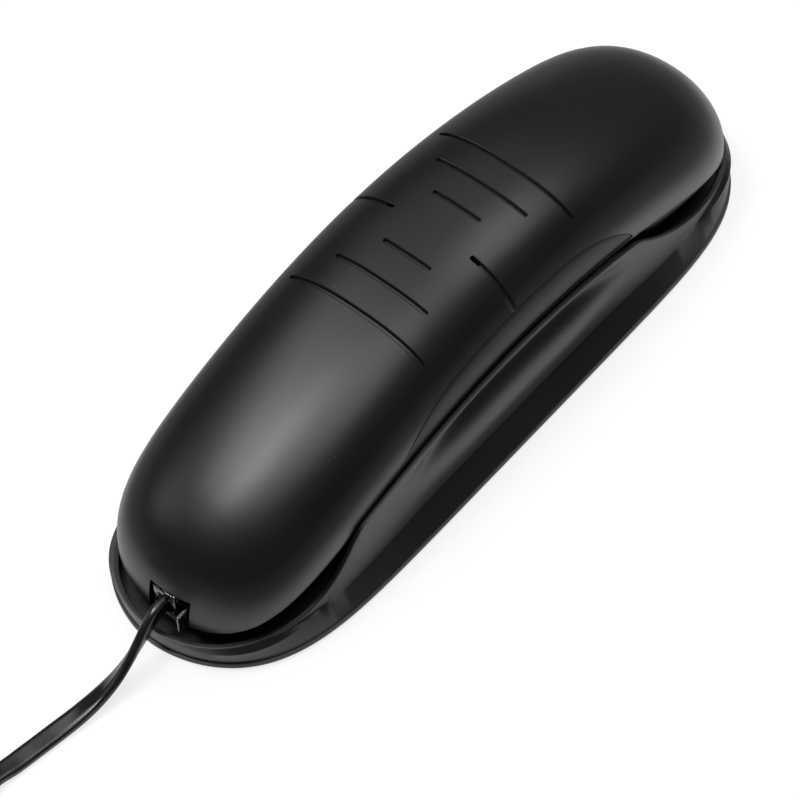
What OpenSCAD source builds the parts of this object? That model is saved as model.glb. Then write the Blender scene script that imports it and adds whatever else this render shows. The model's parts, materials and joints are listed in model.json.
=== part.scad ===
// Compact corded bedroom telephone: an arched handset that holds all the works, lying on a passive cradle
// base. Millimetres. +Y is the earpiece end, -Y the cord end, +Z up, and z = 0 is the surface it stands on.

/* [Handset] */

// length of the handset over both ends
handset_length = 192.4; // [190:0.1:193]
// width of the handset
handset_width = 51.6; // [50:0.1:52]
// height of the handset's crown above the table, at its middle
crown_height = 53.5; // [53:0.1:56]
// how far the crown falls by 100 mm from the middle, before the end's round
crown_fall = 24.5; // [23:0.1:25]
// height of the seam between the two shells above the table, at its middle
seam_height = 34.2; // [33.8:0.1:34.4]
// how far the seam falls by 100 mm from the middle
seam_fall = 24.7; // [24:0.1:25]
// wall of both handset shells
handset_wall = 1.8; // [1.6:0.1:2]
// thickness of the crescent side grips
grip_thickness = 0.9; // [0.6:0.1:1]
// height of the crescent side grips at their middle
grip_height = 9; // [7:0.1:9.5]
// half the length of a crescent side grip
grip_reach = 42.4; // [36:0.1:44]
// width of the grooves across the back
groove_width = 1; // [0.6:0.1:1.4]
// depth of the grooves across the back
groove_depth = 0.9; // [0.4:0.1:1.1]
// distance between neighbouring grooves
groove_pitch = 8.9; // [7:0.1:9.2]
// half length of the shortest groove
groove_short = 6.9; // [5:0.1:8]
// half length of the longest groove
groove_long = 19.6; // [16:0.1:20]
// distance of the sound slots in the two side grooves from the middle
slot_reach = 12.4; // [11.5:0.1:13]

/* [Keypad] */

// length of a key across the handset
key_length = 9; // [8:0.1:9.2]
// width of a key along the handset
key_width = 6.4; // [5:0.1:7]
// distance between key columns
key_column_pitch = 12.8; // [12:0.1:13]
// distance between key rows
key_row_pitch = 11; // [10:0.1:11.5]
// how far a key stands out of the face
key_proud = 1.6; // [1.2:0.1:1.8]
// how far a key goes down when it is pressed
key_travel = 1.2; // [0.6:0.1:1.3]
// width of the three function keys along the handset
function_key_width = 4.4; // [3.6:0.1:5]

/* [Hook switch] */

// diameter of the plunger that the cradle presses
plunger_diameter = 5; // [4:0.1:5.4]
// how far the plunger comes out when the handset is lifted
plunger_travel = 3; // [2:0.1:3.2]

/* [Earpiece and mouthpiece] */

// diameter of the earpiece speaker
speaker_diameter = 28; // [26:0.1:28.4]
// thickness of the earpiece speaker
speaker_depth = 7; // [5:0.1:8]
// diameter of the microphone capsule
microphone_diameter = 9.7; // [6:0.1:9.8]
// diameter of a hole in the grilles
grille_hole = 1.6; // [1.2:0.1:1.8]
// distance between rings of holes in the earpiece grille
grille_pitch = 4.2; // [3.6:0.1:4.6]

/* [Base] */

// length of the base
base_length = 200; // [199.6:0.1:201]
// width of the base at the table
base_width = 63; // [62.6:0.1:64]
// height of the upright lip round the base, above the table
lip_height = 2.1; // [2:0.1:2.6]
// height of the sharp ridge above the lip's bevel
ridge_height = 6.7; // [6.4:0.1:7]
// width of the base over the ridge
ridge_width = 54.2; // [53:0.1:54.5]
// height of the rim round the wells, at the ends
rim_height = 8.3; // [8:0.1:8.8]
// depth of the scoop in the base's long sides
scoop_depth = 3.4; // [1:0.1:3.6]
// thickness of the bottom plate
plate_thickness = 1.6; // [1.4:0.1:1.7]
// how far the feet stand out below the base
foot_height = 0.6; // [0.5:0.1:0.9]
// diameter of a rubber foot
foot_diameter = 9; // [6:0.1:10]
// distance between feet across the base
foot_spacing_x = 40; // [34:0.5:42]
// distance between feet along the base
foot_spacing_y = 138; // [130:0.5:142]

/* [Wall mount] */

// distance between the two keyholes
keyhole_spacing = 83; // [80:0.1:86]
// diameter of a keyhole's entry
keyhole_entry = 8.4; // [8:0.1:9]
// width of a keyhole's slot
keyhole_slot = 4.4; // [4:0.1:4.8]
// length of a keyhole's slot, centre to centre
keyhole_run = 8; // [7:0.1:9]

/* [Cord] */

// width of the flat cord
cord_width = 4.9; // [4.6:0.1:5]
// thickness of the flat cord
cord_thickness = 2.4; // [2.2:0.1:2.5]
// width of the modular plugs
plug_width = 9.6; // [9.4:0.1:9.7]
// height of the modular plugs without their latch
plug_height = 6.6; // [6.4:0.1:6.7]
// length of the modular plugs
plug_length = 12.3; // [12:0.1:12.6]
// turns in the coil's lower layer
lower_turns = 7; // [6:1:7]
// turns in the coil's upper layer
upper_turns = 4.5; // [3.5:1:4.5]

/* [Fits] */

// clearance between moving pieces
clearance = 0.3; // [0.25:0.05:0.35]
// gap between the handset and the cradle
seat_gap = 0.35; // [0.3:0.05:0.5]
// diameter of a screw's thread
screw_thread = 2.4; // [2.2:0.1:2.6]
// diameter of a screw's head
screw_head = 4.6; // [4.2:0.1:4.8]

/* [Hidden] */

$fn = 48;
// stations along each half of an outline
stations = 36;

// every sub-part, by name
number_keys = ["key_1", "key_2", "key_3", "key_4", "key_5", "key_6", "key_7", "key_8", "key_9",
    "key_star", "key_0", "key_hash"];
function_keys = ["flash_key", "redial_key", "mute_key"];

// squareness of the outlines: along the ends, and across the corners
handset_end_power = 10.4;
handset_corner_power = 1.95;
base_end_power = 6.8;
base_corner_power = 1.8;
ridge_end_power = 10.3;
ridge_corner_power = 1.72;
rim_end_power = 7.2;
rim_corner_power = 1.95;
// squareness of the handset's cross-section, at the middle and its change at the ends
section_power = 2.58;
section_power_change = 0.55;
// roundness of the handset's ends, seen from the side
end_round_power = 13.5;
end_round_corner = 2.2;

handset_half = handset_length / 2;
handset_side = handset_width / 2;
base_half = base_length / 2;
base_side = base_width / 2;

// lines that run along the handset, as heights at a place y; the falls are given at the reference span, and
// the flares are how much the lines flatten out again towards the ends
reference_span = 100;
crown_flare = 7.7;
seam_flare = 5.7;
function span(y) = pow(y / reference_span, 2);
function crown_line(y) =
    crown_height - (crown_fall + crown_flare) * span(y) + crown_flare * pow(span(y), 2);
function seam_line(y) =
    seam_height - (seam_fall + seam_flare) * span(y) + seam_flare * pow(span(y), 2);
function smooth(value, low, high) =
    let (t = min(1, max(0, (value - low) / (high - low)))) t * t * (3 - 2 * t);
function blend(from, to, t) = from + (to - from) * t;

// half width of an outline at y
function oval(side, half, end_power, corner_power, y) =
    side * pow(max(0, 1 - pow(min(1, abs(y) / half), end_power)), 1 / corner_power);

// the front face: flat behind the keys, and a tilted plane at each end
face_height = 29.5;
face_flat = 34;
end_plane_start = 55;
end_plane_centre = 72;
end_plane_end = 90;
end_plane_height = 7.6;
end_plane_slope = 0.18;
function end_plane(y) =
    end_plane_height - (min(abs(y), end_plane_end) - end_plane_centre) * end_plane_slope;
function face_line(y) = blend(face_height, end_plane(y), smooth(abs(y), face_flat, end_plane_start));
end_tilt = atan(end_plane_slope);

// a closed ring of points: along the +X side towards +Y and back along the -X side
function ring_y(i, half) = half * sin(i <= stations ? -90 + 180 * i / stations : 270 - 180 * i / stations);
function ring(half, width_at, height_at) = [
    for (i = [0 : 2 * stations - 1])
        let (y = ring_y(i, half))
        let (x = i % stations == 0 ? 0 : width_at(y))
        [i < stations ? x : -x, y, height_at(y)]
];
function ridge_points(half, height_at) = [
    for (i = [1 : stations - 1]) [0, ring_y(i, half), height_at(ring_y(i, half))]
];

// triangles between the rings of a stack, and the strips that close its ends over a centre line
ring_count = 2 * stations;
function wall_faces(rings) = [
    for (k = [0 : rings - 2])
        for (i = [0 : ring_count - 1])
            let (a = k * ring_count + i)
            let (b = k * ring_count + (i + 1) % ring_count)
            for (side = [0, 1])
                side == 0 ? [a, a + ring_count, b + ring_count] : [a, b + ring_count, b]
];
function centre_index(i, ring_start, centre_start) =
    i == 0 ? ring_start : i == stations ? ring_start + stations : centre_start + i - 1;
function half_cap_faces(ring_start, centre_start, mirrored) = [
    for (i = [0 : stations - 1])
        let (a = ring_start + (mirrored ? (ring_count - i) % ring_count : i))
        let (b = ring_start + (mirrored ? ring_count - i - 1 : i + 1))
        let (c = centre_index(i + 1, ring_start, centre_start))
        let (d = centre_index(i, ring_start, centre_start))
        for (side = [0, 1])
            let (face = side == 0 ? [a, b, c] : [a, c, d])
            if (face[0] != face[1] && face[1] != face[2] && face[2] != face[0]) face
];
function turned(faces) = [for (face = faces) [face[2], face[1], face[0]]];
function lower_cap(ring_start, centre_start) = concat(
    half_cap_faces(ring_start, centre_start, false),
    turned(half_cap_faces(ring_start, centre_start, true))
);

// a solid from a stack of rings; centre_low and centre_high are the heights along its two closing lines
module stack(rings, centre_low, centre_high) {
    last = len(rings) - 1;
    low_start = len(rings) * ring_count;
    high_start = low_start + stations - 1;
    low_half = rings[0][stations][1];
    high_half = rings[last][stations][1];
    points = concat(
        [for (one = rings) for (point = one) point],
        ridge_points(low_half, centre_low),
        ridge_points(high_half, centre_high)
    );
    faces = concat(
        wall_faces(len(rings)),
        lower_cap(0, low_start),
        turned(lower_cap(last * ring_count, high_start))
    );
    polyhedron(points, faces, convexity = 8);
}

// the back shell's outer or inner surface, as level curves at a share of its height; inset is 0 or the wall
back_levels = [0, 0.12, 0.25, 0.38, 0.5, 0.62, 0.74, 0.85, 0.93, 0.975];
function end_round(half, y) =
    pow(max(0, 1 - pow(min(1, abs(y) / half), end_round_power)), 1 / end_round_corner);
function section_at(y) = section_power - section_power_change * span(y);
function side_at(y, inset) =
    oval(handset_side - inset, handset_half - inset, handset_end_power, handset_corner_power, y);
function back_height(y, level, inset) = blend(seam_line(y), crown_line(y) - inset, level);
function back_width(y, level, inset) =
    let (share = min(1, level / max(level + 0.000001, end_round(handset_half - inset, y))))
    let (power = section_at(y))
    side_at(y, inset) * pow(max(0, 1 - pow(share, power)), 1 / power);
function level_half(level, inset) =
    (handset_half - inset) * pow(1 - pow(level, end_round_corner), 1 / end_round_power);
function back_ring(level, inset) = ring(
    level_half(level, inset),
    function (y) back_width(y, level, inset),
    function (y) back_height(y, level, inset)
);
function crown_profile(inset) =
    function (y) back_height(y, end_round(handset_half - inset, y), inset);
// half width of the room inside the back at a height
function inner_half_width(y, z) =
    back_width(y, (z - seam_line(y)) / (crown_line(y) - handset_wall - seam_line(y)), handset_wall);
// height of the back's outer surface over a point
function back_surface(x, y) =
    let (power = section_at(y))
    let (share = pow(max(0, 1 - pow(abs(x) / side_at(y, 0), power)), 1 / power))
    back_height(y, share * end_round(handset_half, y), 0);

module back_body() {
    last = len(back_levels) - 1;
    stack(
        concat(
            [for (k = [0 : last]) back_ring(back_levels[last - k], handset_wall)],
            [for (k = [0 : last]) back_ring(back_levels[k], 0)]
        ),
        crown_profile(handset_wall),
        crown_profile(0)
    );
}

// the front shell's surfaces: insets from the seam's outline, each with its share of the depth to the face
front_insets = [[0, 0], [1, 0.25], [2.5, 0.55], [4.5, 0.85], [6.5, 1]];
seam_strip = 1;
function front_height(y, share, lift) =
    blend(seam_line(y) - seam_strip, face_line(y), share) + lift;
function front_ring(k, inset, lift) = ring(
    handset_half - inset - front_insets[k][0],
    function (y) oval(
        handset_side - inset - front_insets[k][0],
        handset_half - inset - front_insets[k][0],
        handset_end_power, handset_corner_power, y
    ),
    function (y) front_height(y, front_insets[k][1], lift)
);
function seam_ring(inset) = ring(
    handset_half - inset,
    function (y) side_at(y, inset),
    function (y) seam_line(y)
);

module front_body() {
    last = len(front_insets) - 1;
    stack(
        concat(
            [for (k = [0 : last]) front_ring(last - k, 0, 0)],
            [seam_ring(0), seam_ring(handset_wall)],
            [for (k = [1 : last]) front_ring(k, handset_wall, handset_wall)]
        ),
        function (y) face_line(y),
        function (y) face_line(y) + handset_wall
    );
}

// a groove across the back, from one place on the section to another
groove_steps = 10;
groove_roof = 2;
module groove(y, from, to) {
    xs = [for (i = [0 : groove_steps]) blend(from, to, i / groove_steps)];
    floor_path = [for (x = xs) [x, back_surface(x, y) - groove_depth]];
    roof_path = [for (i = [0 : groove_steps]) [xs[groove_steps - i], crown_height + groove_roof]];
    translate([0, y + groove_width / 2, 0])
        rotate([90, 0, 0])
            linear_extrude(groove_width)
                polygon(concat(floor_path, roof_path));
}

// crescent outline of a side grip: its height above the seam at y
grip_end_power = 4;
grip_corner_power = 1.3;
function grip_rise(y, margin) =
    (grip_height + margin) * pow(
        max(0, 1 - pow(min(1, abs(y) / (grip_reach + margin)), grip_end_power)), 1 / grip_corner_power
    );
grip_rows = 24;
grip_columns = 4;
function grip_point(i, j, margin, depth, foot) =
    let (y = (grip_reach + margin) * 0.99 * (2 * i / grip_rows - 1))
    let (rise = blend(-foot, grip_rise(y, margin), j / grip_columns))
    let (level = rise / (crown_line(y) - seam_line(y)))
    let (x = back_width(y, max(0, level), 0))
    [x - depth, y, seam_line(y) + rise];
function grip_index(layer, i, j) = (layer * (grip_rows + 1) + i) * (grip_columns + 1) + j;
function quad(a, b, c, d) = [[a, b, c], [a, c, d]];
module grip_body(margin, outer, inner, foot) {
    points = [
        for (depth = [inner, outer])
            for (i = [0 : grip_rows])
                for (j = [0 : grip_columns]) grip_point(i, j, margin, depth, foot)
    ];
    faces = concat(
        [for (i = [0 : grip_rows - 1]) for (j = [0 : grip_columns - 1])
            for (face = quad(
                grip_index(1, i, j), grip_index(1, i, j + 1),
                grip_index(1, i + 1, j + 1), grip_index(1, i + 1, j)
            )) face],
        [for (i = [0 : grip_rows - 1]) for (j = [0 : grip_columns - 1])
            for (face = quad(
                grip_index(0, i, j), grip_index(0, i + 1, j),
                grip_index(0, i + 1, j + 1), grip_index(0, i, j + 1)
            )) face],
        [for (i = [0 : grip_rows - 1])
            for (face = quad(
                grip_index(0, i, 0), grip_index(1, i, 0), grip_index(1, i + 1, 0), grip_index(0, i + 1, 0)
            )) face],
        [for (i = [0 : grip_rows - 1])
            for (face = quad(
                grip_index(1, i, grip_columns), grip_index(0, i, grip_columns),
                grip_index(0, i + 1, grip_columns), grip_index(1, i + 1, grip_columns)
            )) face],
        [for (j = [0 : grip_columns - 1])
            for (face = quad(
                grip_index(0, 0, j), grip_index(0, 0, j + 1), grip_index(1, 0, j + 1), grip_index(1, 0, j)
            )) face],
        [for (j = [0 : grip_columns - 1])
            for (face = quad(
                grip_index(0, grip_rows, j), grip_index(1, grip_rows, j),
                grip_index(1, grip_rows, j + 1), grip_index(0, grip_rows, j + 1)
            )) face]
    );
    polyhedron(points, faces, convexity = 4);
}

// the base: rings from the cavity under the saddle, round the lip, up the flank and down into the wells
base_floor_gap = 0.9;
key_well_gap = 3.4;
saddle_start = 27;
saddle_end = 44;
base_bottom = foot_height;
plate_top = foot_height + plate_thickness;
saddle_wall = 2.2;
lip_wall = 2.2;
under_side = 23.6;
under_half = 95;
flank_shares = [0, 0.18, 0.36, 0.52, 0.66, 0.78, 0.88, 0.95];
// pairs give a value for the cord's end and one for the earpiece's: where the rim leaves the seam, where it
// is level again, how sharply it drops between, and how far below the seam it runs
rim_start = [58.5, 43.5];
rim_end = [84, 96];
rim_drop_power = [2.6, 2];
rim_below_seam = [0.6, 1.9];
// gaps between the handset and the rim's inner edge, at the ends and the sides
rim_end_gap = 2.8;
rim_side_gap = 0.3;
rim_half = handset_half + rim_end_gap;
rim_side = handset_side + rim_side_gap;
rim_width = 1.1;
rim_top_width = 0.8;
rim_inner_edge = 0.1;
// the step outside the rim: its greatest depth and its least, and where it comes and goes
rim_step = [4.2, 4.4];
step_least = 0.1;
step_start = [57, 39];
step_full = [61, 47];
step_fade = [62, 60];
step_end = [88, 92];
ridge_out = 0.1;
// the ridge draws in by this share at the base's waist
ridge_waist = 0.034;
waist_start = 25;
waist_end = 60;
// the scoop in the flank: where it starts, its swell, and the place and spread of its dip and its swell
scoop_start = 16;
swell_height = 0.8;
dip_share = 0.74;
dip_spread = 0.13;
swell_share = 0.34;
swell_spread = 0.2;

function on_saddle(y) = 1 - smooth(abs(y), saddle_start, saddle_end);
function by_end(pair, y) = y < 0 ? pair[0] : pair[1];
function below_seam(y) = blend(rim_below_seam[0], rim_below_seam[1], smooth(y, -saddle_start, saddle_end));
function rim_line(y) =
    let (start = by_end(rim_start, y))
    let (way = (abs(y) - start) / (by_end(rim_end, y) - start))
    let (left = pow(1 - min(1, max(0, way)), by_end(rim_drop_power, y)))
    blend(rim_height, seam_line(y) - below_seam(y), left);
function rim_x(y, out) = oval(rim_side + out, rim_half + out, rim_end_power, rim_corner_power, y);
function step_down(y) =
    by_end(rim_step, y) * smooth(abs(y), by_end(step_start, y), by_end(step_full, y))
    * (1 - smooth(abs(y), by_end(step_fade, y), by_end(step_end, y))) + step_least;
ridge_half = base_half + ridge_out;
function ridge_side(y) = ridge_width / 2 * (1 - ridge_waist * (1 - smooth(abs(y), waist_start, waist_end)));
function ridge_x(y) = oval(ridge_side(y), ridge_half, ridge_end_power, ridge_corner_power, y);
function scoop(y, share) =
    let (middle = 1 - smooth(abs(y), scoop_start, saddle_end))
    let (dip = exp(-pow((share - dip_share) / dip_spread, 2)))
    let (swell = exp(-pow((share - swell_share) / swell_spread, 2)))
    middle * (swell_height * swell - scoop_depth * dip);
rim_outer_half = rim_half + rim_width;
function flank_half(share) = blend(ridge_half, rim_outer_half, share);
function flank_ring(share) =
    let (half = flank_half(share))
    ring(
        half,
        function (y)
            let (t = y / half)
            blend(ridge_x(t * ridge_half), rim_x(t * rim_outer_half, rim_width), share) + scoop(y, share),
        function (y) blend(ridge_height, rim_line(y) - step_down(y), share)
    );
// the rim's rounded shoulder is never deeper than half the step beside it
rim_shoulder = 0.6;
function rim_ring(out, drop) = ring(
    rim_half + out,
    function (y) rim_x(y, out),
    function (y) rim_line(y) - drop * min(rim_shoulder, step_down(y) / 2)
);
function base_ring(side, half, height) = ring(
    half,
    function (y) oval(side, half, base_end_power, base_corner_power, y),
    function (y) height
);
// the seat follows the handset's underside over the saddle and drops to the wells' floor at the ends
function floor_line(y) = face_line(y) - blend(base_floor_gap, key_well_gap, on_saddle(y));
function seat_height(y, share) =
    blend(face_line(y) - base_floor_gap, front_height(y, share, -seat_gap), on_saddle(y));
function seat_ring(k) =
    let (inset = front_insets[k][0])
    let (half = rim_half - inset)
    ring(
        half,
        function (y) blend(
            rim_x(y, 0) * (1 - inset / rim_side),
            rim_side - inset,
            on_saddle(y)
        ),
        function (y) seat_height(y, front_insets[k][1])
    );
well_half = 88;
well_side = 18.9;
function well_ring(drop) = ring(
    well_half,
    function (y) oval(well_side, well_half, rim_end_power, rim_corner_power, y),
    function (y) floor_line(y) - drop
);
cavity_side = 17.5;
cavity_half = 86;
function cavity_line(y) = max(plate_top, floor_line(y) - saddle_wall);

module base_body() {
    cavity = ring(
        cavity_half,
        function (y) oval(cavity_side, cavity_half, rim_end_power, rim_corner_power, y),
        function (y) cavity_line(y)
    );
    stack(
        concat(
            [cavity],
            [base_ring(under_side, under_half, plate_top)],
            [base_ring(base_side - lip_wall, base_half - lip_wall, plate_top)],
            [base_ring(base_side - lip_wall, base_half - lip_wall, base_bottom)],
            [base_ring(base_side, base_half, base_bottom)],
            [base_ring(base_side, base_half, lip_height)],
            [for (share = flank_shares) flank_ring(share)],
            [rim_ring(rim_width, 1)],
            [rim_ring(rim_top_width, 0)],
            [rim_ring(rim_inner_edge, 0)],
            [for (k = [0 : len(front_insets) - 1]) seat_ring(k)],
            [well_ring(0)]
        ),
        function (y) cavity_line(y),
        function (y) floor_line(y)
    );
}

// colours
black_shell = [0.05, 0.05, 0.055];
black_grip = [0.07, 0.07, 0.075];
key_grey = [0.13, 0.13, 0.14];
rubber_black = [0.03, 0.03, 0.03];
silicone_grey = [0.55, 0.57, 0.6];
board_green = [0.08, 0.32, 0.16];
steel = [0.62, 0.63, 0.65];
foam_grey = [0.22, 0.22, 0.23];
clear_plastic = [0.85, 0.9, 0.92, 0.6];

// a stadium-shaped bar standing on z
module stadium(length, width, height) {
    straight = length - width;
    translate([-straight / 2, -width / 2, 0])
        cube([straight, width, height]);
    for (side = [-1, 1])
        translate([side * straight / 2, 0, 0])
            cylinder(d = width, h = height);
}

// places of the handset's pieces
inner_face = face_height + handset_wall;
first_row_y = 19;
function_row_y = -25.5;
key_flange = 1.6;
key_flange_height = 0.8;
key_stem = 4.4;
dome_clearance = 0.4;
membrane_bottom = inner_face + clearance + key_flange_height + key_travel + dome_clearance;
membrane_thickness = 2.4;
membrane_top = membrane_bottom + membrane_thickness;
// the membrane reaches this far past the keys' flanges, the function keys' and the plunger's collar
membrane_side_margin = 0.7;
membrane_front_margin = 1;
membrane_back_margin = 1.5;
membrane_width = 2 * key_column_pitch + key_length + key_flange + 2 * membrane_side_margin;
pocket_margin = 0.8;
membrane_front_y = function_row_y - (function_key_width + key_flange) / 2 - membrane_front_margin;
pocket_diameter = key_stem + pocket_margin;
board_thickness = 1.6;
board_top = membrane_top + board_thickness;
board_length = 86;
// the board's corners stay this far inside the back shell, and the parts on it end this far under its crown
board_margin = 1.8;
works_headroom = 3.1;
board_width = 2 * (inner_half_width(board_length / 2, board_top) - board_margin);
board_post_margin = 3;
board_post_y = 38;
board_post_diameter = 4;
post_root = 0.4;
function works_height(y) = crown_line(y) - handset_wall - works_headroom - board_top;
plunger_y = 30;
plunger_recess = 0.6;
plunger_tip = face_height - plunger_recess;
plunger_hole_margin = 1.4;
hook_size = [14, 12];
hook_bore_margin = 1;
hook_roof = 1.4;
hook_height = works_height(plunger_y + hook_size[1] / 2);
hook_bore_top = board_top + hook_height - hook_roof;
plunger_above_board = 1.4;
plunger_top = board_top + plunger_above_board;
plunger_collar = 1;
plunger_collar_margin = 3;
membrane_length = plunger_y - (plunger_diameter + plunger_collar_margin) / 2 - membrane_back_margin
    - membrane_front_y;
plunger_collar_bottom = inner_face + plunger_travel + 2 * clearance;
spring_outer = 4.2;
spring_inner = 3.2;
screw_y = 48;
boss_diameter = 7;
boss_web = [3, 5, 2.5];
// a boss or post under a sloping wall ends this far below the wall's outer surface at its low side
boss_cover = 1.2;
floor_cover = 0.3;
handset_screw_length = 9;
handset_screw_head = 1.8;
head_clearance = 0.4;
bore_start = 8;
front_boss_bottom = 23;
boss_joint = 28.5;
head_seat = 25.2;
speaker_y = end_plane_centre - 2;
speaker_flange = 1.6;
speaker_cup = 0.72;
speaker_clearance = 0.2;
grille_depth = 6;
microphone_hole_pitch = 3;
gasket_thickness = 0.8;
gasket_inset = 1;
gasket_width = 6;
holder_wall = 1.6;
holder_height = 5.4;
holder_root = 0.4;
microphone_y = -62;
microphone_height = 5.5;
boot_diameter = 13.4;
boot_floor = 1.5;
boot_port = 6;
boot_height = 6.4;
sounder_y = -24;
sounder_diameter = 20;
sounder_port = 3;
sounder_port_depth = 1.5;
sounder_height = works_height(abs(sounder_y) + sounder_diameter / 2);
weight_bottom = 24;
weight_top = 29;
weight_y = -65;
weight_size = [22, 24];
weight_post_diameter = 6;
weight_post_y = 7;
jack_x = 1.25;
jack_z = 14.1;
jack_front_y = -90.8;
jack_back_y = -81.6;
jack_wall = 0.6;
jack_fit = 0.2;
jack_floor = 0.8;
jack_shelf = [8, 6];
plug_rear_y = -95.5;
plug_clearance = 0.3;
notch_margin = 0.1;
notch_left = -3;
notch_right = 8.2;
slide_y = 52;
slide_z = 30.6;
slide_travel = 2;
slide_knob_length = 3.6;
slide_knob_height = 1.8;
slide_inset = 0.35;
slide_back = [1, 8, 3.4];
slide_back_x = inner_half_width(slide_y + slide_travel + slide_back[1] / 2, slide_z + slide_back[2] / 2)
    - clearance;

// the tilted frame of the earpiece or the mouthpiece, with z = 0 on its outer face
module on_end_plane(y) {
    translate([0, y, end_plane(y)])
        rotate([y > 0 ? -end_tilt : end_tilt, 0, 0])
            children();
}
shell_skin = handset_wall * cos(end_tilt);
holder_bore = speaker_diameter + 2 * speaker_clearance;
jack_bottom = jack_z - plug_width / 2 - plug_clearance - jack_floor;
jack_height = plug_width + 2 * (plug_clearance + jack_floor) + 2 * notch_margin;

module key_place(index) {
    column = index % 3;
    row = floor(index / 3);
    translate([(1 - column) * key_column_pitch, first_row_y - row * key_row_pitch, 0])
        children();
}
module function_key_place(index) {
    translate([(1 - index) * key_column_pitch, function_row_y, 0])
        children();
}

// a key: its cap through the face, its flange behind the face and the stem under its dome
module key_body(width) {
    flange_bottom = inner_face + clearance;
    translate([0, 0, face_height - key_proud])
        stadium(key_length, width, flange_bottom - face_height + key_proud);
    translate([0, 0, flange_bottom])
        stadium(key_length + key_flange, width + key_flange, key_flange_height);
    translate([0, 0, flange_bottom + key_flange_height])
        cylinder(d = key_stem, h = membrane_bottom - flange_bottom - key_flange_height);
}
module number_key(index) {
    color(key_grey)
        key_place(index)
            key_body(key_width);
}
module function_key(index) {
    color(key_grey)
        function_key_place(index)
            key_body(function_key_width);
}
module key_opening(width) {
    translate([0, 0, face_height - 1])
        stadium(key_length + 2 * clearance, width + 2 * clearance, handset_wall + 2);
}

module plug_notch() {
    notch_start = -handset_half - 2 * handset_wall;
    margin = plug_clearance + notch_margin;
    translate([notch_left, notch_start, jack_z - plug_width / 2 - margin])
        cube([notch_right - notch_left, jack_front_y - notch_start, plug_width + 2 * margin]);
}

module slide_slot(y) {
    slot_length = slide_knob_length + 2 * slide_travel + 2 * clearance;
    slot_height = slide_knob_height + 2 * clearance;
    translate([-handset_side - handset_wall, y - slot_length / 2, slide_z - slot_height / 2])
        cube([handset_side + handset_wall - slide_back_x, slot_length, slot_height]);
}
module slide_knob(y) {
    knob_start = -handset_side + slide_inset;
    translate([knob_start, y - slide_knob_length / 2, slide_z - slide_knob_height / 2])
        cube([-slide_back_x - knob_start, slide_knob_length, slide_knob_height]);
    translate([-slide_back_x, y - slide_back[1] / 2, slide_z - slide_back[2] / 2])
        cube(slide_back);
}

// the sound slots in the side grooves, and the recess that a side grip is bedded in
sound_slot_length = 2.4;
sound_slot_depth = 8;
grip_edge_gap = 0.25;
grip_bed = 0.1;
module grip_recess() {
    grip_body(grip_edge_gap, -handset_wall, grip_thickness, seam_strip);
}
module handset_back_shell() {
    color(black_shell)
        difference() {
            union() {
                back_body();
                for (side = [-1, 1])
                    translate([0, side * screw_y, boss_joint])
                        cylinder(
                            d = boss_diameter,
                            h = crown_line(screw_y + boss_diameter / 2) - boss_cover - boss_joint
                        );
                for (offset = [-weight_post_y, weight_post_y])
                    translate([0, weight_y + offset, weight_top])
                        cylinder(
                            d = weight_post_diameter,
                            h = crown_line(weight_y + offset) - boss_cover - weight_top
                        );
            }
            for (side = [-1, 1])
                translate([0, side * screw_y, boss_joint - 1])
                    cylinder(d = screw_thread, h = handset_screw_length);
            for (end = [-1, 1]) {
                for (row = [1 : 3])
                    groove(
                        end * row * groove_pitch,
                        -blend(groove_short, groove_long, (row - 1) / 2),
                        blend(groove_short, groove_long, (row - 1) / 2)
                    );
                groove(
                    0,
                    end * (slot_reach - sound_slot_length / 2),
                    end * (handset_side - sound_slot_length / 2)
                );
                translate([
                    end * slot_reach - sound_slot_length / 2,
                    -groove_width / 2,
                    crown_height - sound_slot_depth
                ])
                    cube([sound_slot_length, groove_width, sound_slot_depth + groove_roof]);
            }
            grip_recess();
            mirror([1, 0, 0])
                grip_recess();
            plug_notch();
            slide_slot(slide_y);
            slide_slot(-slide_y);
        }
}

module side_grip_right() {
    color(black_grip)
        grip_body(0, 0, grip_thickness - grip_bed, 0);
}
module side_grip_left() {
    color(black_grip)
        mirror([1, 0, 0])
            grip_body(0, 0, grip_thickness - grip_bed, 0);
}

module earpiece_holes() {
    cylinder(d = grille_hole, h = grille_depth, center = true);
    for (angle = [0 : 60 : 359])
        rotate([0, 0, angle])
            translate([grille_pitch, 0, 0])
                cylinder(d = grille_hole, h = grille_depth, center = true);
    for (angle = [0 : 45 : 359])
        rotate([0, 0, angle + 22.5])
            translate([2 * grille_pitch, 0, 0])
                cylinder(d = grille_hole, h = grille_depth, center = true);
}

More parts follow.
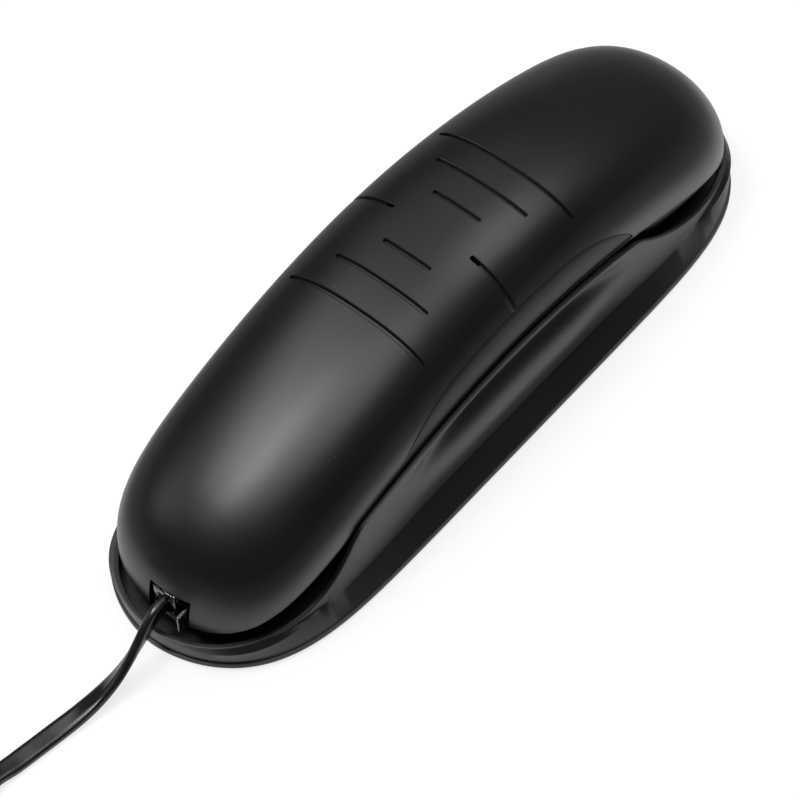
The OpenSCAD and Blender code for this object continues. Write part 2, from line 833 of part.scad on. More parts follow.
module handset_front_shell() {
    color(black_shell)
        difference() {
            union() {
                front_body();
                for (side = [-1, 1]) {
                    translate([0, side * screw_y, front_boss_bottom])
                        cylinder(d = boss_diameter, h = boss_joint - front_boss_bottom);
                    translate([
                        -boss_web[0] / 2,
                        side * (screw_y - boss_web[1]) - boss_web[1] / 2,
                        boss_joint - boss_web[2]
                    ])
                        cube(boss_web);
                    for (end = [-1, 1])
                        translate([
                            side * (board_width / 2 - board_post_margin),
                            end * board_post_y,
                            face_height + post_root
                        ])
                            cylinder(d = board_post_diameter, h = membrane_top - face_height - post_root);
                }
                on_end_plane(speaker_y)
                    translate([0, 0, shell_skin - holder_root])
                        difference() {
                            cylinder(d = holder_bore + 2 * holder_wall, h = holder_height);
                            translate([0, 0, -1])
                                cylinder(d = holder_bore, h = holder_height + 2);
                        }
                translate([
                    jack_x - jack_shelf[0] / 2,
                    jack_front_y + handset_wall,
                    end_plane(jack_back_y) + handset_wall / 2
                ])
                    cube([
                        jack_shelf[0],
                        jack_shelf[1],
                        jack_bottom - end_plane(jack_back_y) - handset_wall / 2
                    ]);
            }
            for (index = [0 : 11])
                key_place(index)
                    key_opening(key_width);
            for (index = [0 : 2])
                function_key_place(index)
                    key_opening(function_key_width);
            translate([0, plunger_y, face_height - 1])
                cylinder(d = plunger_diameter + 2 * clearance, h = handset_wall + 2);
            for (side = [-1, 1]) {
                translate([0, side * screw_y, bore_start])
                    cylinder(d = screw_head + head_clearance, h = head_seat - bore_start);
                translate([0, side * screw_y, bore_start])
                    cylinder(d = screw_thread + head_clearance, h = boss_joint + 1 - bore_start);
            }
            on_end_plane(speaker_y)
                earpiece_holes();
            on_end_plane(microphone_y)
                for (column = [-1 : 1])
                    translate([column * microphone_hole_pitch, 0, 0])
                        cylinder(d = grille_hole, h = grille_depth, center = true);
            plug_notch();
            jack_outline(jack_fit);
        }
}

module jack_outline(margin) {
    translate([notch_left - jack_wall - margin, jack_front_y - margin, jack_bottom - margin])
        cube([
            notch_right - notch_left + 2 * jack_wall + 2 * margin,
            jack_back_y - jack_front_y + 2 * margin,
            jack_height + 2 * margin
        ]);
}

module keypad_membrane() {
    color(silicone_grey)
        difference() {
            translate([-membrane_width / 2, membrane_front_y, membrane_bottom])
                cube([membrane_width, membrane_length, membrane_thickness]);
            for (index = [0 : 11])
                key_place(index)
                    translate([0, 0, membrane_bottom - 1])
                        cylinder(d = pocket_diameter, h = 1 + key_travel + dome_clearance);
            for (index = [0 : 2])
                function_key_place(index)
                    translate([0, 0, membrane_bottom - 1])
                        cylinder(d = pocket_diameter, h = 1 + key_travel + dome_clearance);
        }
}

module main_board() {
    color(board_green)
        difference() {
            translate([-board_width / 2, -board_length / 2, membrane_top])
                cube([board_width, board_length, board_thickness]);
            translate([0, plunger_y, membrane_top - 1])
                cylinder(d = plunger_diameter + plunger_hole_margin, h = board_thickness + 2);
        }
}

module earpiece_gasket() {
    color(foam_grey)
        on_end_plane(speaker_y)
            translate([0, 0, shell_skin])
                difference() {
                    cylinder(d = speaker_diameter - gasket_inset, h = gasket_thickness);
                    translate([0, 0, -1])
                        cylinder(d = speaker_diameter - gasket_width, h = gasket_thickness + 2);
                }
}
module earpiece_speaker() {
    color(steel)
        on_end_plane(speaker_y)
            translate([0, 0, shell_skin + gasket_thickness]) {
                cylinder(d = speaker_diameter, h = speaker_flange);
                translate([0, 0, speaker_flange])
                    cylinder(d = speaker_diameter * speaker_cup, h = speaker_depth - speaker_flange);
            }
}

module microphone() {
    color(steel)
        on_end_plane(microphone_y)
            translate([0, 0, shell_skin + boot_floor])
                cylinder(d = microphone_diameter, h = microphone_height);
}
module microphone_boot() {
    color(rubber_black)
        on_end_plane(microphone_y)
            translate([0, 0, shell_skin])
                difference() {
                    cylinder(d = boot_diameter, h = boot_height);
                    translate([0, 0, boot_floor])
                        cylinder(d = microphone_diameter, h = boot_height);
                    translate([0, 0, -1])
                        cylinder(d = boot_port, h = boot_floor + 2);
                }
}

module ringer_sounder() {
    color(rubber_black)
        translate([0, sounder_y, board_top])
            difference() {
                cylinder(d = sounder_diameter, h = sounder_height);
                translate([0, 0, sounder_height - sounder_port_depth])
                    cylinder(d = sounder_port, h = sounder_port_depth + 1);
            }
}

module hook_plunger() {
    color(key_grey)
        translate([0, plunger_y, 0]) {
            translate([0, 0, plunger_tip])
                cylinder(d = plunger_diameter, h = plunger_top - plunger_tip);
            translate([0, 0, plunger_collar_bottom])
                cylinder(d = plunger_diameter + plunger_collar_margin, h = plunger_collar);
        }
}
module hook_spring() {
    color(steel)
        translate([0, plunger_y, plunger_top])
            difference() {
                cylinder(d = spring_outer, h = hook_bore_top - plunger_top);
                translate([0, 0, -1])
                    cylinder(d = spring_inner, h = hook_bore_top - plunger_top + 2);
            }
}
module hook_switch() {
    color(rubber_black)
        difference() {
            translate([-hook_size[0] / 2, plunger_y - hook_size[1] / 2, board_top])
                cube([hook_size[0], hook_size[1], hook_height]);
            translate([0, plunger_y, board_top - 1])
                cylinder(d = plunger_diameter + hook_bore_margin, h = hook_bore_top - board_top + 1);
        }
}

module line_jack() {
    color(rubber_black)
        difference() {
            jack_outline(0);
            translate([notch_left + jack_wall, jack_front_y - 1, jack_z - plug_width / 2 - plug_clearance])
                cube([
                    notch_right - notch_left - jack_wall,
                    jack_back_y - jack_front_y + 1 - 2 * jack_wall,
                    plug_width + 2 * plug_clearance
                ]);
        }
}

// a modular plug with its cable end at y = 0 and its body towards +Y, its width standing up
wire_pitch = 1.02;
wire_slot = [2, 5, 0.4];
bar_pocket = [1.4, 3.2, 3.6];
bar_pocket_y = 2.4;
module plug_body() {
    difference() {
        translate([-plug_height / 2, 0, -plug_width / 2])
            cube([plug_height, plug_length, plug_width]);
        translate([plug_height / 2 - bar_pocket[0], bar_pocket_y, -bar_pocket[2] / 2])
            cube([bar_pocket[0] + 1, bar_pocket[1], bar_pocket[2]]);
        for (wire = [-1.5 : 1 : 1.5])
            translate([
                -plug_height / 2 - 1,
                plug_length - wire_slot[1],
                wire * wire_pitch - wire_slot[2] / 2
            ])
                cube([wire_slot[0] + 1, wire_slot[1] + 1, wire_slot[2]]);
    }
}
// the latch: its round root near the plug's nose, and its arm back over the cable end
latch_width = 6;
latch_gap = 0.15;
latch_root = 1.1;
latch_root_y = 10.65;
latch_thickness = 0.8;
latch_rise = 2.3;
latch_bend_y = 3;
latch_end_y = -2.4;
module latch_body() {
    root_x = latch_gap + latch_root / 2;
    translate([plug_height / 2, 0, -latch_width / 2]) {
        linear_extrude(latch_width)
            polygon([
                [latch_gap, latch_root_y],
                [latch_gap, latch_root_y - latch_root],
                [latch_rise, latch_bend_y],
                [latch_rise, latch_end_y],
                [latch_rise + latch_thickness, latch_end_y],
                [latch_rise + latch_thickness, latch_bend_y + latch_thickness / 2],
                [latch_gap + latch_root, latch_root_y]
            ]);
        translate([root_x, latch_root_y, 0])
            cylinder(d = latch_root, h = latch_width);
    }
}
module line_plug_place() {
    translate([jack_x, plug_rear_y, jack_z])
        children();
}
module line_plug() {
    color(clear_plastic)
        line_plug_place()
            plug_body();
}
module line_plug_latch() {
    color(clear_plastic)
        line_plug_place()
            latch_body();
}

module handset_weight() {
    color(steel)
        translate([-weight_size[0] / 2, weight_y - weight_size[1] / 2, weight_bottom])
            cube([weight_size[0], weight_size[1], weight_top - weight_bottom]);
}

module ringer_switch() {
    color(key_grey)
        slide_knob(slide_y);
}
module dial_mode_switch() {
    color(key_grey)
        slide_knob(-slide_y);
}

module screw(head_depth, thread_length) {
    translate([0, 0, -head_depth])
        cylinder(d = screw_head, h = head_depth);
    cylinder(d = screw_thread, h = thread_length);
}
module handset_screws() {
    color(steel)
        for (side = [-1, 1])
            translate([0, side * screw_y, head_seat])
                screw(handset_screw_head, handset_screw_length);
}

base_screw_x = 14;
base_screw_y = 36;
base_screw_length = 9;
ballast_size = [34, 56, 8];
pad_diameter = 6.4;
module base_screw_places() {
    for (x = [-base_screw_x, base_screw_x])
        for (y = [-base_screw_y, base_screw_y])
            translate([x, y, 0])
                children();
}
base_boss_top = floor_line(base_screw_y + boss_diameter / 2) - floor_cover;
pad_top = plunger_tip - clearance;
pad_root = floor_line(plunger_y) - saddle_wall / 2;
module base_top_shell() {
    color(black_shell)
        difference() {
            union() {
                base_body();
                base_screw_places()
                    translate([0, 0, plate_top])
                        cylinder(d = boss_diameter, h = base_boss_top - plate_top);
                translate([0, plunger_y, pad_root])
                    cylinder(d = pad_diameter, h = pad_top - pad_root);
            }
            base_screw_places()
                translate([0, 0, plate_top - 1])
                    cylinder(d = screw_thread, h = base_screw_length + 1);
        }
}

plate_gap = 0.3;
module base_bottom_plate() {
    outline = [for (point = base_ring(
        base_side - lip_wall - plate_gap, base_half - lip_wall - plate_gap, 0
    )) [point[0], point[1]]];
    color(black_grip)
        translate([0, 0, base_bottom])
            difference() {
                linear_extrude(plate_thickness)
                    polygon(outline);
                for (side = [-1, 1])
                    translate([0, side * keyhole_spacing / 2, -1]) {
                        cylinder(d = keyhole_slot, h = plate_thickness + 2);
                        translate([0, -keyhole_run, 0])
                            cylinder(d = keyhole_entry, h = plate_thickness + 2);
                        translate([-keyhole_slot / 2, -keyhole_run, 0])
                            cube([keyhole_slot, keyhole_run, plate_thickness + 2]);
                    }
                base_screw_places()
                    translate([0, 0, -1])
                        cylinder(d = screw_thread + head_clearance, h = plate_thickness + 2);
                base_screw_places()
                    translate([0, 0, -1])
                        cylinder(d = screw_head + head_clearance, h = 1 + plate_thickness / 2);
            }
}
module base_screws() {
    color(steel)
        base_screw_places()
            translate([0, 0, base_bottom + plate_thickness / 2])
                screw(plate_thickness / 2 - 0.1, base_screw_length);
}
module base_ballast() {
    color(steel)
        translate([-ballast_size[0] / 2, -ballast_size[1] / 2, plate_top])
            cube(ballast_size);
}
module rubber_feet() {
    color(rubber_black)
        for (x = [-1, 1])
            for (y = [-1, 1])
                translate([x * foot_spacing_x / 2, y * foot_spacing_y / 2, 0])
                    cylinder(d = foot_diameter, h = foot_height);
}

// the cord: x, y, z and the turn of its flat side, where 90 stands it on edge
flat_z = cord_thickness / 2 + 0.05;
edge_z = cord_width / 2 + 0.05;
cord_route = [
    [1.25, -95.5, 14.1, 90],
    [1.3, -98.5, 13.9, 90],
    [1.5, -101.5, 12.4, 85],
    [1.7, -105, 9.8, 75],
    [1.8, -109, 7, 60],
    [1.6, -113.5, 4.6, 42],
    [1, -119, 2.8, 22],
    [0.2, -124.5, 1.8, 8],
    [-0.8, -130, flat_z, 0],
    [-1.7, -136, flat_z, 0],
    [-2.6, -142, flat_z, 0],
    [-3.3, -148, 1.85, 20],
    [-1.8, -154, 2.3, 50],
    [2.2, -160, edge_z, 80],
    [5.2, -165.5, edge_z, 90],
    [6.9, -170.5, edge_z, 90],
    [7, -176, edge_z, 90]
];
cord_shape = [
    [0.5, 0.2], [0.38, 0.5], [-0.38, 0.5], [-0.5, 0.2], [-0.5, -0.2], [-0.38, -0.5], [0.38, -0.5], [0.5, -0.2]
];
coil_shape = [[0.5, 0], [0.36, 0.5], [-0.36, 0.5], [-0.5, 0], [-0.36, -0.5], [0.36, -0.5]];

function unit(v) = v / norm(v);
function place(point) = [point[0], point[1], point[2]];
function heading(route, i) =
    unit(place(route[min(i + 1, len(route) - 1)]) - place(route[max(i - 1, 0)]));
// one ring of a flat tube, square to its route
function tube_ring(route, shape, i, along) =
    let (across = unit(cross([0, 0, 1], along)))
    let (up = cross(along, across))
    let (turn = route[i][3])
    let (wide = across * cos(turn) + up * sin(turn))
    let (thin = cross(along, wide))
    [for (corner = shape)
        place(route[i]) + wide * corner[0] * cord_width + thin * corner[1] * cord_thickness];
module flat_tube(route, shape, first, last) {
    sides = len(shape);
    count = len(route);
    rings = [for (i = [0 : count - 1])
        tube_ring(route, shape, i, i == 0 ? first : i == count - 1 ? last : heading(route, i))];
    points = [for (one = rings) for (point = one) point];
    walls = [for (i = [0 : count - 2]) for (j = [0 : sides - 1])
        let (a = i * sides + j)
        let (b = i * sides + (j + 1) % sides)
        for (half = [0, 1]) half == 0 ? [a, a + sides, b + sides] : [a, b + sides, b]];
    ends = [for (j = [1 : sides - 2])
        for (half = [0, 1])
            half == 0
                ? [0, j, j + 1]
                : [(count - 1) * sides, (count - 1) * sides + j + 1, (count - 1) * sides + j]];
    polyhedron(points, concat(walls, ends), convexity = 10);
}

// the coil: a lower layer that winds in, a half turn that climbs and an upper layer that winds out
coil_steps = 24;
coil_centre = [-32, -176];
coil_outer = 39;
turn_pitch = cord_thickness + 0.6;
layer_pitch = cord_width + 0.5;
coil_inner = coil_outer - lower_turns * turn_pitch;
all_turns = lower_turns + 0.5 + upper_turns;
lift_turns = 0.75;
// how far the last turn swings out, so that the plug lies clear of the turn beside it
end_drift = 2.6;
plug_rest_z = edge_z + cord_width / 2 + plug_width / 2 + clearance;
function coil_radius(turn) =
    turn < lower_turns ? coil_outer - turn * turn_pitch
    : turn < lower_turns + 0.5 ? coil_inner
    : coil_inner + (turn - lower_turns - 0.5) * turn_pitch
        + end_drift * smooth(turn, all_turns - lift_turns, all_turns);
function coil_height(turn) =
    edge_z + layer_pitch * smooth(turn, lower_turns, lower_turns + 0.5)
    + (plug_rest_z - edge_z - layer_pitch) * smooth(turn, all_turns - lift_turns, all_turns);
function coil_point(turn) = [
    coil_centre[0] + coil_radius(turn) * cos(360 * turn),
    coil_centre[1] - coil_radius(turn) * sin(360 * turn),
    coil_height(turn),
    90
];
coil_route = concat(
    [[coil_centre[0] + coil_outer, coil_centre[1], edge_z, 90]],
    [for (i = [0 : all_turns * coil_steps])
        let (point = coil_point(i / coil_steps))
        [point[0], point[1] - cord_width, point[2], 90]],
    [let (point = coil_point(all_turns)) [point[0], point[1] - 2 * cord_width, point[2], 90]]
);
coil_end = coil_route[len(coil_route) - 1];
// the least gap between neighbouring turns and between the layers, measured between the tube's points
function coil_ring(i) = tube_ring(coil_route, coil_shape, i, heading(coil_route, i));
function ring_gap(a, b) = min([for (p = a) for (q = b) norm(p - q)]);
function coil_gap() =
    let (count = len(coil_route))
    let (rings = [for (i = [0 : count - 1]) coil_ring(i)])
    let (mirror_sum = (2 * lower_turns + 0.5) * coil_steps)
    min(concat(
        [for (i = [1 : count - coil_steps - 4]) for (j = [coil_steps - 1 : coil_steps + 1])
            ring_gap(rings[i], rings[i + j])],
        [for (i = [1 : (lower_turns - 1) * coil_steps])
            for (j = [mirror_sum - i - 13 : mirror_sum - i + 13])
                if (j < count) ring_gap(rings[i], rings[j])]
    ));

module line_cord() {
    color(rubber_black)
        flat_tube(cord_route, cord_shape, [0, -1, 0], [0, -1, 0]);
}
module line_cord_coil() {
    echo(least_gap_in_coil = coil_gap(), turns = all_turns);
    color(rubber_black)
        flat_tube(coil_route, coil_shape, [0, -1, 0], [0, -1, 0]);
}
module wall_plug_place() {
    translate([coil_end[0], coil_end[1], coil_end[2]])
        mirror([0, 1, 0])
            children();
}
module wall_plug() {
    color(clear_plastic)
        wall_plug_place()
            plug_body();
}
module wall_plug_latch() {
    color(clear_plastic)
        wall_plug_place()
            latch_body();
}

handset_back_shell();
side_grip_right();
side_grip_left();
handset_front_shell();
number_key(0);  // key_1
number_key(1);  // key_2
number_key(2);  // key_3
number_key(3);  // key_4
number_key(4);  // key_5
number_key(5);  // key_6
number_key(6);  // key_7
number_key(7);  // key_8
number_key(8);  // key_9
number_key(9);  // key_star
number_key(10);  // key_0
number_key(11);  // key_hash
function_key(0);  // flash_key
function_key(1);  // redial_key
function_key(2);  // mute_key
keypad_membrane();
main_board();
earpiece_speaker();
earpiece_gasket();
microphone();
microphone_boot();
ringer_sounder();
hook_plunger();
hook_spring();
hook_switch();
line_jack();
line_plug();
line_plug_latch();
handset_weight();
ringer_switch();
dial_mode_switch();
handset_screws();
base_top_shell();
base_bottom_plate();
base_ballast();
rubber_feet();
base_screws();
line_cord();
line_cord_coil();
wall_plug();
wall_plug_latch();
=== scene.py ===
import json
import logging
import math
from collections.abc import Callable, Sequence
from dataclasses import dataclass, field
from enum import Enum

import bmesh
import bpy
from mathutils import Matrix, Vector

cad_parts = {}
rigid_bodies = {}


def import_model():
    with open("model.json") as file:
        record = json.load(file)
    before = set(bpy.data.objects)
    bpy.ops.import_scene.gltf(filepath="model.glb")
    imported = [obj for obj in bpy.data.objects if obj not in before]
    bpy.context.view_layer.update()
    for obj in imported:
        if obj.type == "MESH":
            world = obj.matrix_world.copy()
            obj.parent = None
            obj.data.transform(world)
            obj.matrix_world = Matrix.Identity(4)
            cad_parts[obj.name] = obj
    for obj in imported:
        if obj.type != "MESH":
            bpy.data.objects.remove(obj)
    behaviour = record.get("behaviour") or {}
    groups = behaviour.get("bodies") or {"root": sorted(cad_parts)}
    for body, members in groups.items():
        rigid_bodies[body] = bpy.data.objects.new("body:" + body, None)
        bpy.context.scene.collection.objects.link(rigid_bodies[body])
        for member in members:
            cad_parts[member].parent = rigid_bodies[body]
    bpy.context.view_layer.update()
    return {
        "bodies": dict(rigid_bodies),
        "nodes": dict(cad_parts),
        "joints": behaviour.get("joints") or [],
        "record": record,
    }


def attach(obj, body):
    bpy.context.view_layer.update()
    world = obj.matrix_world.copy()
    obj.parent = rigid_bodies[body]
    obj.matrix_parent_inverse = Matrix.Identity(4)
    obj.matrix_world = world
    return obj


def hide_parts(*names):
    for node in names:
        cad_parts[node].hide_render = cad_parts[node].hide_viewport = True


LOG = logging.getLogger("bedroom_phone")
MM = 0.001

Piece = bpy.types.Object
Socket = bpy.types.NodeSocket
Pair = tuple[float, float]
Profile = tuple[Pair, ...]
Point = tuple[float, float, float]
Colour = tuple[float, float, float]
Stop = tuple[float, float, float, float]
Face = tuple[int, ...]
Line = Callable[[float], float]

WARM_WHITE: Colour = (1.0, 0.95, 0.955)
SHARP_ANGLE = 35.0
FINE_ANGLE = 30.0
DOUBLES_WITHIN = 2e-7
SHORTEST_EDGE = 1e-8


class Side(Enum):
    """The two long sides of the phone."""

    RIGHT = 1
    LEFT = -1


class End(Enum):
    """The two ends of the phone."""

    EARPIECE = 1
    MOUTHPIECE = -1


# ---------------------------------------------------------------------------
# Small geometry helpers
# ---------------------------------------------------------------------------


def smooth_step(value: float, low: float, high: float) -> float:
    """Rises smoothly from 0 at low to 1 at high.

    Args:
        value: The number to place between the two limits.
        low: Where the step starts.
        high: Where the step ends.

    Returns:
        A share between 0 and 1.
    """
    t = min(1.0, max(0.0, (value - low) / (high - low)))
    return t * t * (3 - 2 * t)


def mix(start: float, end: float, share: float) -> float:
    """Returns the number at a share of the way from start to end."""
    return start + (end - start) * share


def curve_between(before: float, start: float, end: float, after: float, share: float) -> float:
    """A number on the smooth curve from start to end.

    Args:
        before: The number before start.
        start: The number at a share of 0.
        end: The number at a share of 1.
        after: The number after end.
        share: Place between start and end.

    Returns:
        The number at the share.
    """
    square = 2 * before - 5 * start + 4 * end - after
    cube = 3 * start - before - 3 * end + after
    return 0.5 * (2 * start + (end - before) * share + square * share * share + cube * share**3)


def oval(side: float, half: float, end_power: float, corner_power: float, y: float) -> float:
    """Half width of a rounded outline at a place along it.

    Args:
        side: Half width at the middle.
        half: Half length.
        end_power: Squareness along the ends.
        corner_power: Squareness across the corners.
        y: Place along the outline.

    Returns:
        The half width at y, 0 at both ends.
    """
    share = min(1.0, abs(y) / half) ** end_power
    return side * max(0.0, 1 - share) ** (1 / corner_power)


def turned_about(angle: float, axis: str, place: Point) -> Matrix:
    """A turn about an axis, followed by a move.

    Args:
        angle: Turn in radians.
        axis: Letter of the axis.
        place: Where the origin goes, in metres.

    Returns:
        The combined matrix.
    """
    return Matrix.Translation(place) @ Matrix.Rotation(angle, 4, axis)


def finish_mesh(mesh: bpy.types.Mesh, sharp: float = SHARP_ANGLE) -> None:
    """Closes seams, points faces outwards and shades a mesh smooth between its sharp edges.

    Args:
        mesh: The mesh to treat.
        sharp: Angle in degrees past which an edge stays sharp.
    """
    work = bmesh.new()
    work.from_mesh(mesh)
    bmesh.ops.remove_doubles(work, verts=work.verts, dist=DOUBLES_WITHIN)
    bmesh.ops.dissolve_degenerate(work, edges=work.edges, dist=SHORTEST_EDGE)
    bmesh.ops.recalc_face_normals(work, faces=work.faces)
    work.to_mesh(mesh)
    work.free()
    for polygon in mesh.polygons:
        polygon.use_smooth = True
    mesh.set_sharp_from_angle(angle=math.radians(sharp))


def make_piece(
    name: str, points: Sequence[Point], faces: Sequence[Face], sharp: float = SHARP_ANGLE
) -> Piece:
    """Makes an object from points in millimetres.

    Args:
        name: Name of the object.
        points: Corners in millimetres, in the part's own frame.
        faces: Corner numbers of each face.
        sharp: Angle in degrees past which an edge stays sharp.

    Returns:
        The linked object, at the origin.
    """
    mesh = bpy.data.meshes.new(name)
    mesh.from_pydata([(x * MM, y * MM, z * MM) for x, y, z in points], [], list(faces))
    finish_mesh(mesh, sharp)
    piece = bpy.data.objects.new(name, mesh)
    bpy.context.scene.collection.objects.link(piece)
    return piece


def settle(piece: Piece, sharp: float = SHARP_ANGLE) -> None:
    """Turns a piece's live modifiers into its own plain mesh.

    Args:
        piece: The object to settle.
        sharp: Angle in degrees past which an edge stays sharp.
    """
    graph = bpy.context.evaluated_depsgraph_get()
    mesh = bpy.data.meshes.new_from_object(piece.evaluated_get(graph))
    piece.modifiers.clear()
    piece.data = mesh
    finish_mesh(mesh, sharp)


def discard(*pieces: Piece) -> None:
    """Deletes objects that were only needed for shaping others."""
    for piece in pieces:
        bpy.data.objects.remove(piece, do_unlink=True)


def carve(piece: Piece, cutters: Sequence[Piece], sharp: float = SHARP_ANGLE) -> None:
    """Cuts solids out of a piece and deletes them.

    Args:
        piece: The object that is cut.
        cutters: Closed solids to take away, one pass each.
        sharp: Angle in degrees past which an edge stays sharp.
    """
    for cutter in cutters:
        cut = piece.modifiers.new("cut", "BOOLEAN")
        cut.operation = "DIFFERENCE"
        cut.solver = "EXACT"
        cut.object = cutter
    settle(piece, sharp)
    discard(*cutters)


def join_meshes(name: str, parts: Sequence[Piece]) -> Piece:
    """Joins several loose solids into one object and deletes them.

    Args:
        name: Name of the new object.
        parts: Objects at the origin whose meshes are put together.

    Returns:
        The joined object.
    """
    points: list[Point] = []
    faces: list[Face] = []
    for part in parts:
        start = len(points)
        points += [tuple(c / MM for c in v.co) for v in part.data.vertices]
        faces += [tuple(start + i for i in p.vertices) for p in part.data.polygons]
    discard(*parts)
    return make_piece(name, points, faces)


def block(name: str, low: Point, high: Point) -> Piece:
    """Makes a plain block, for cutting or for bevelling.

    Args:
        name: Name of the object.
        low: Its lowest corner in millimetres.
        high: Its highest corner in millimetres.

    Returns:
        The block.
    """
    points = [(x, y, z) for x in (low[0], high[0]) for y in (low[1], high[1]) for z in (low[2], high[2])]
    faces = [(0, 1, 3, 2), (4, 6, 7, 5), (0, 4, 5, 1), (2, 3, 7, 6), (0, 2, 6, 4), (1, 5, 7, 3)]
    return make_piece(name, points, faces)


def ring_loft(name: str, rings: Sequence[Sequence[Point]], sharp: float = SHARP_ANGLE) -> Piece:
    """Makes a solid through rings of equal length, closed flat at both ends.

    Args:
        name: Name of the object.
        rings: Rings of points in millimetres, in order.
        sharp: Angle in degrees past which an edge stays sharp.

    Returns:
        The closed object.
    """
    count = len(rings[0])
    points = [point for ring in rings for point in ring]
    faces: list[Face] = []
    for k in range(len(rings) - 1):
        for i in range(count):
            j = (i + 1) % count
            faces.append((k * count + i, k * count + j, (k + 1) * count + j, (k + 1) * count + i))
    faces.append(tuple(range(count - 1, -1, -1)))
    faces.append(tuple((len(rings) - 1) * count + i for i in range(count)))
    return make_piece(name, points, faces, sharp)


def skin_faces(rows: int, columns: int, pointed: bool = False) -> list[Face]:
    """Joins two layers of points, each a grid of rows and columns, into one closed skin.

    Args:
        rows: Cells along the grid.
        columns: Cells across the grid.
        pointed: Whether the first and last rows shrink to points, which need no edge.

    Returns:
        The faces of both layers, then of the edges between them.
    """
    wide = columns + 1
    layer = (rows + 1) * wide
    faces: list[Face] = []
    for start in (0, layer):
        for i in range(rows):
            for j in range(columns):
                a = start + i * wide + j
                faces.append((a, a + wide, a + wide + 1, a + 1))
    for i in range(rows):
        for j in (0, columns):
            a = i * wide + j
            faces.append((a, a + layer, a + layer + wide, a + wide))
    for j in range(0 if pointed else columns):
        for i in (0, rows):
            a = i * wide + j
            faces.append((a, a + layer, a + layer + 1, a + 1))
    return faces


def circle(radius: float, z: float, count: int, centre: Pair = (0, 0)) -> list[Point]:
    """Points of a level circle.

    Args:
        radius: Radius in millimetres.
        z: Height of the circle.
        count: Number of points.
        centre: Its centre in the plan.

    Returns:
        The points in millimetres.
    """
    turns = [2 * math.pi * i / count for i in range(count)]
    return [(centre[0] + radius * math.cos(t), centre[1] + radius * math.sin(t), z) for t in turns]


def moved(ring: Sequence[Point], x: float, y: float) -> list[Point]:
    """Returns a ring moved in the plan."""
    return [(px + x, py + y, z) for px, py, z in ring]


def lathe(name: str, profile: Sequence[Pair], count: int = 40) -> Piece:
    """Turns a profile of (radius, height) pairs about the upright axis into a closed solid."""
    return ring_loft(name, [circle(radius, z, count) for radius, z in profile], FINE_ANGLE)


def stadium_ring(length: float, width: float, inset: float, z: float, steps: int = 14) -> list[Point]:
    """A level ring with straight sides and round ends, about the origin.

    Args:
        length: Length over the round ends.
        width: Width across the straight sides.
        inset: How far the ring is drawn in.
        z: Height of the ring.
        steps: Points in each round end.

    Returns:
        The ring's points in millimetres.
    """
    reach = (length - width) / 2
    radius = width / 2 - inset
    ring = []
    for side in (1, -1):
        for i in range(steps + 1):
            angle = math.pi * (i / steps - 0.5) + (0 if side == 1 else math.pi)
            ring.append((side * reach + radius * math.cos(angle), radius * math.sin(angle), z))
    return ring


# ---------------------------------------------------------------------------
# Lines of the phone, in millimetres
# ---------------------------------------------------------------------------


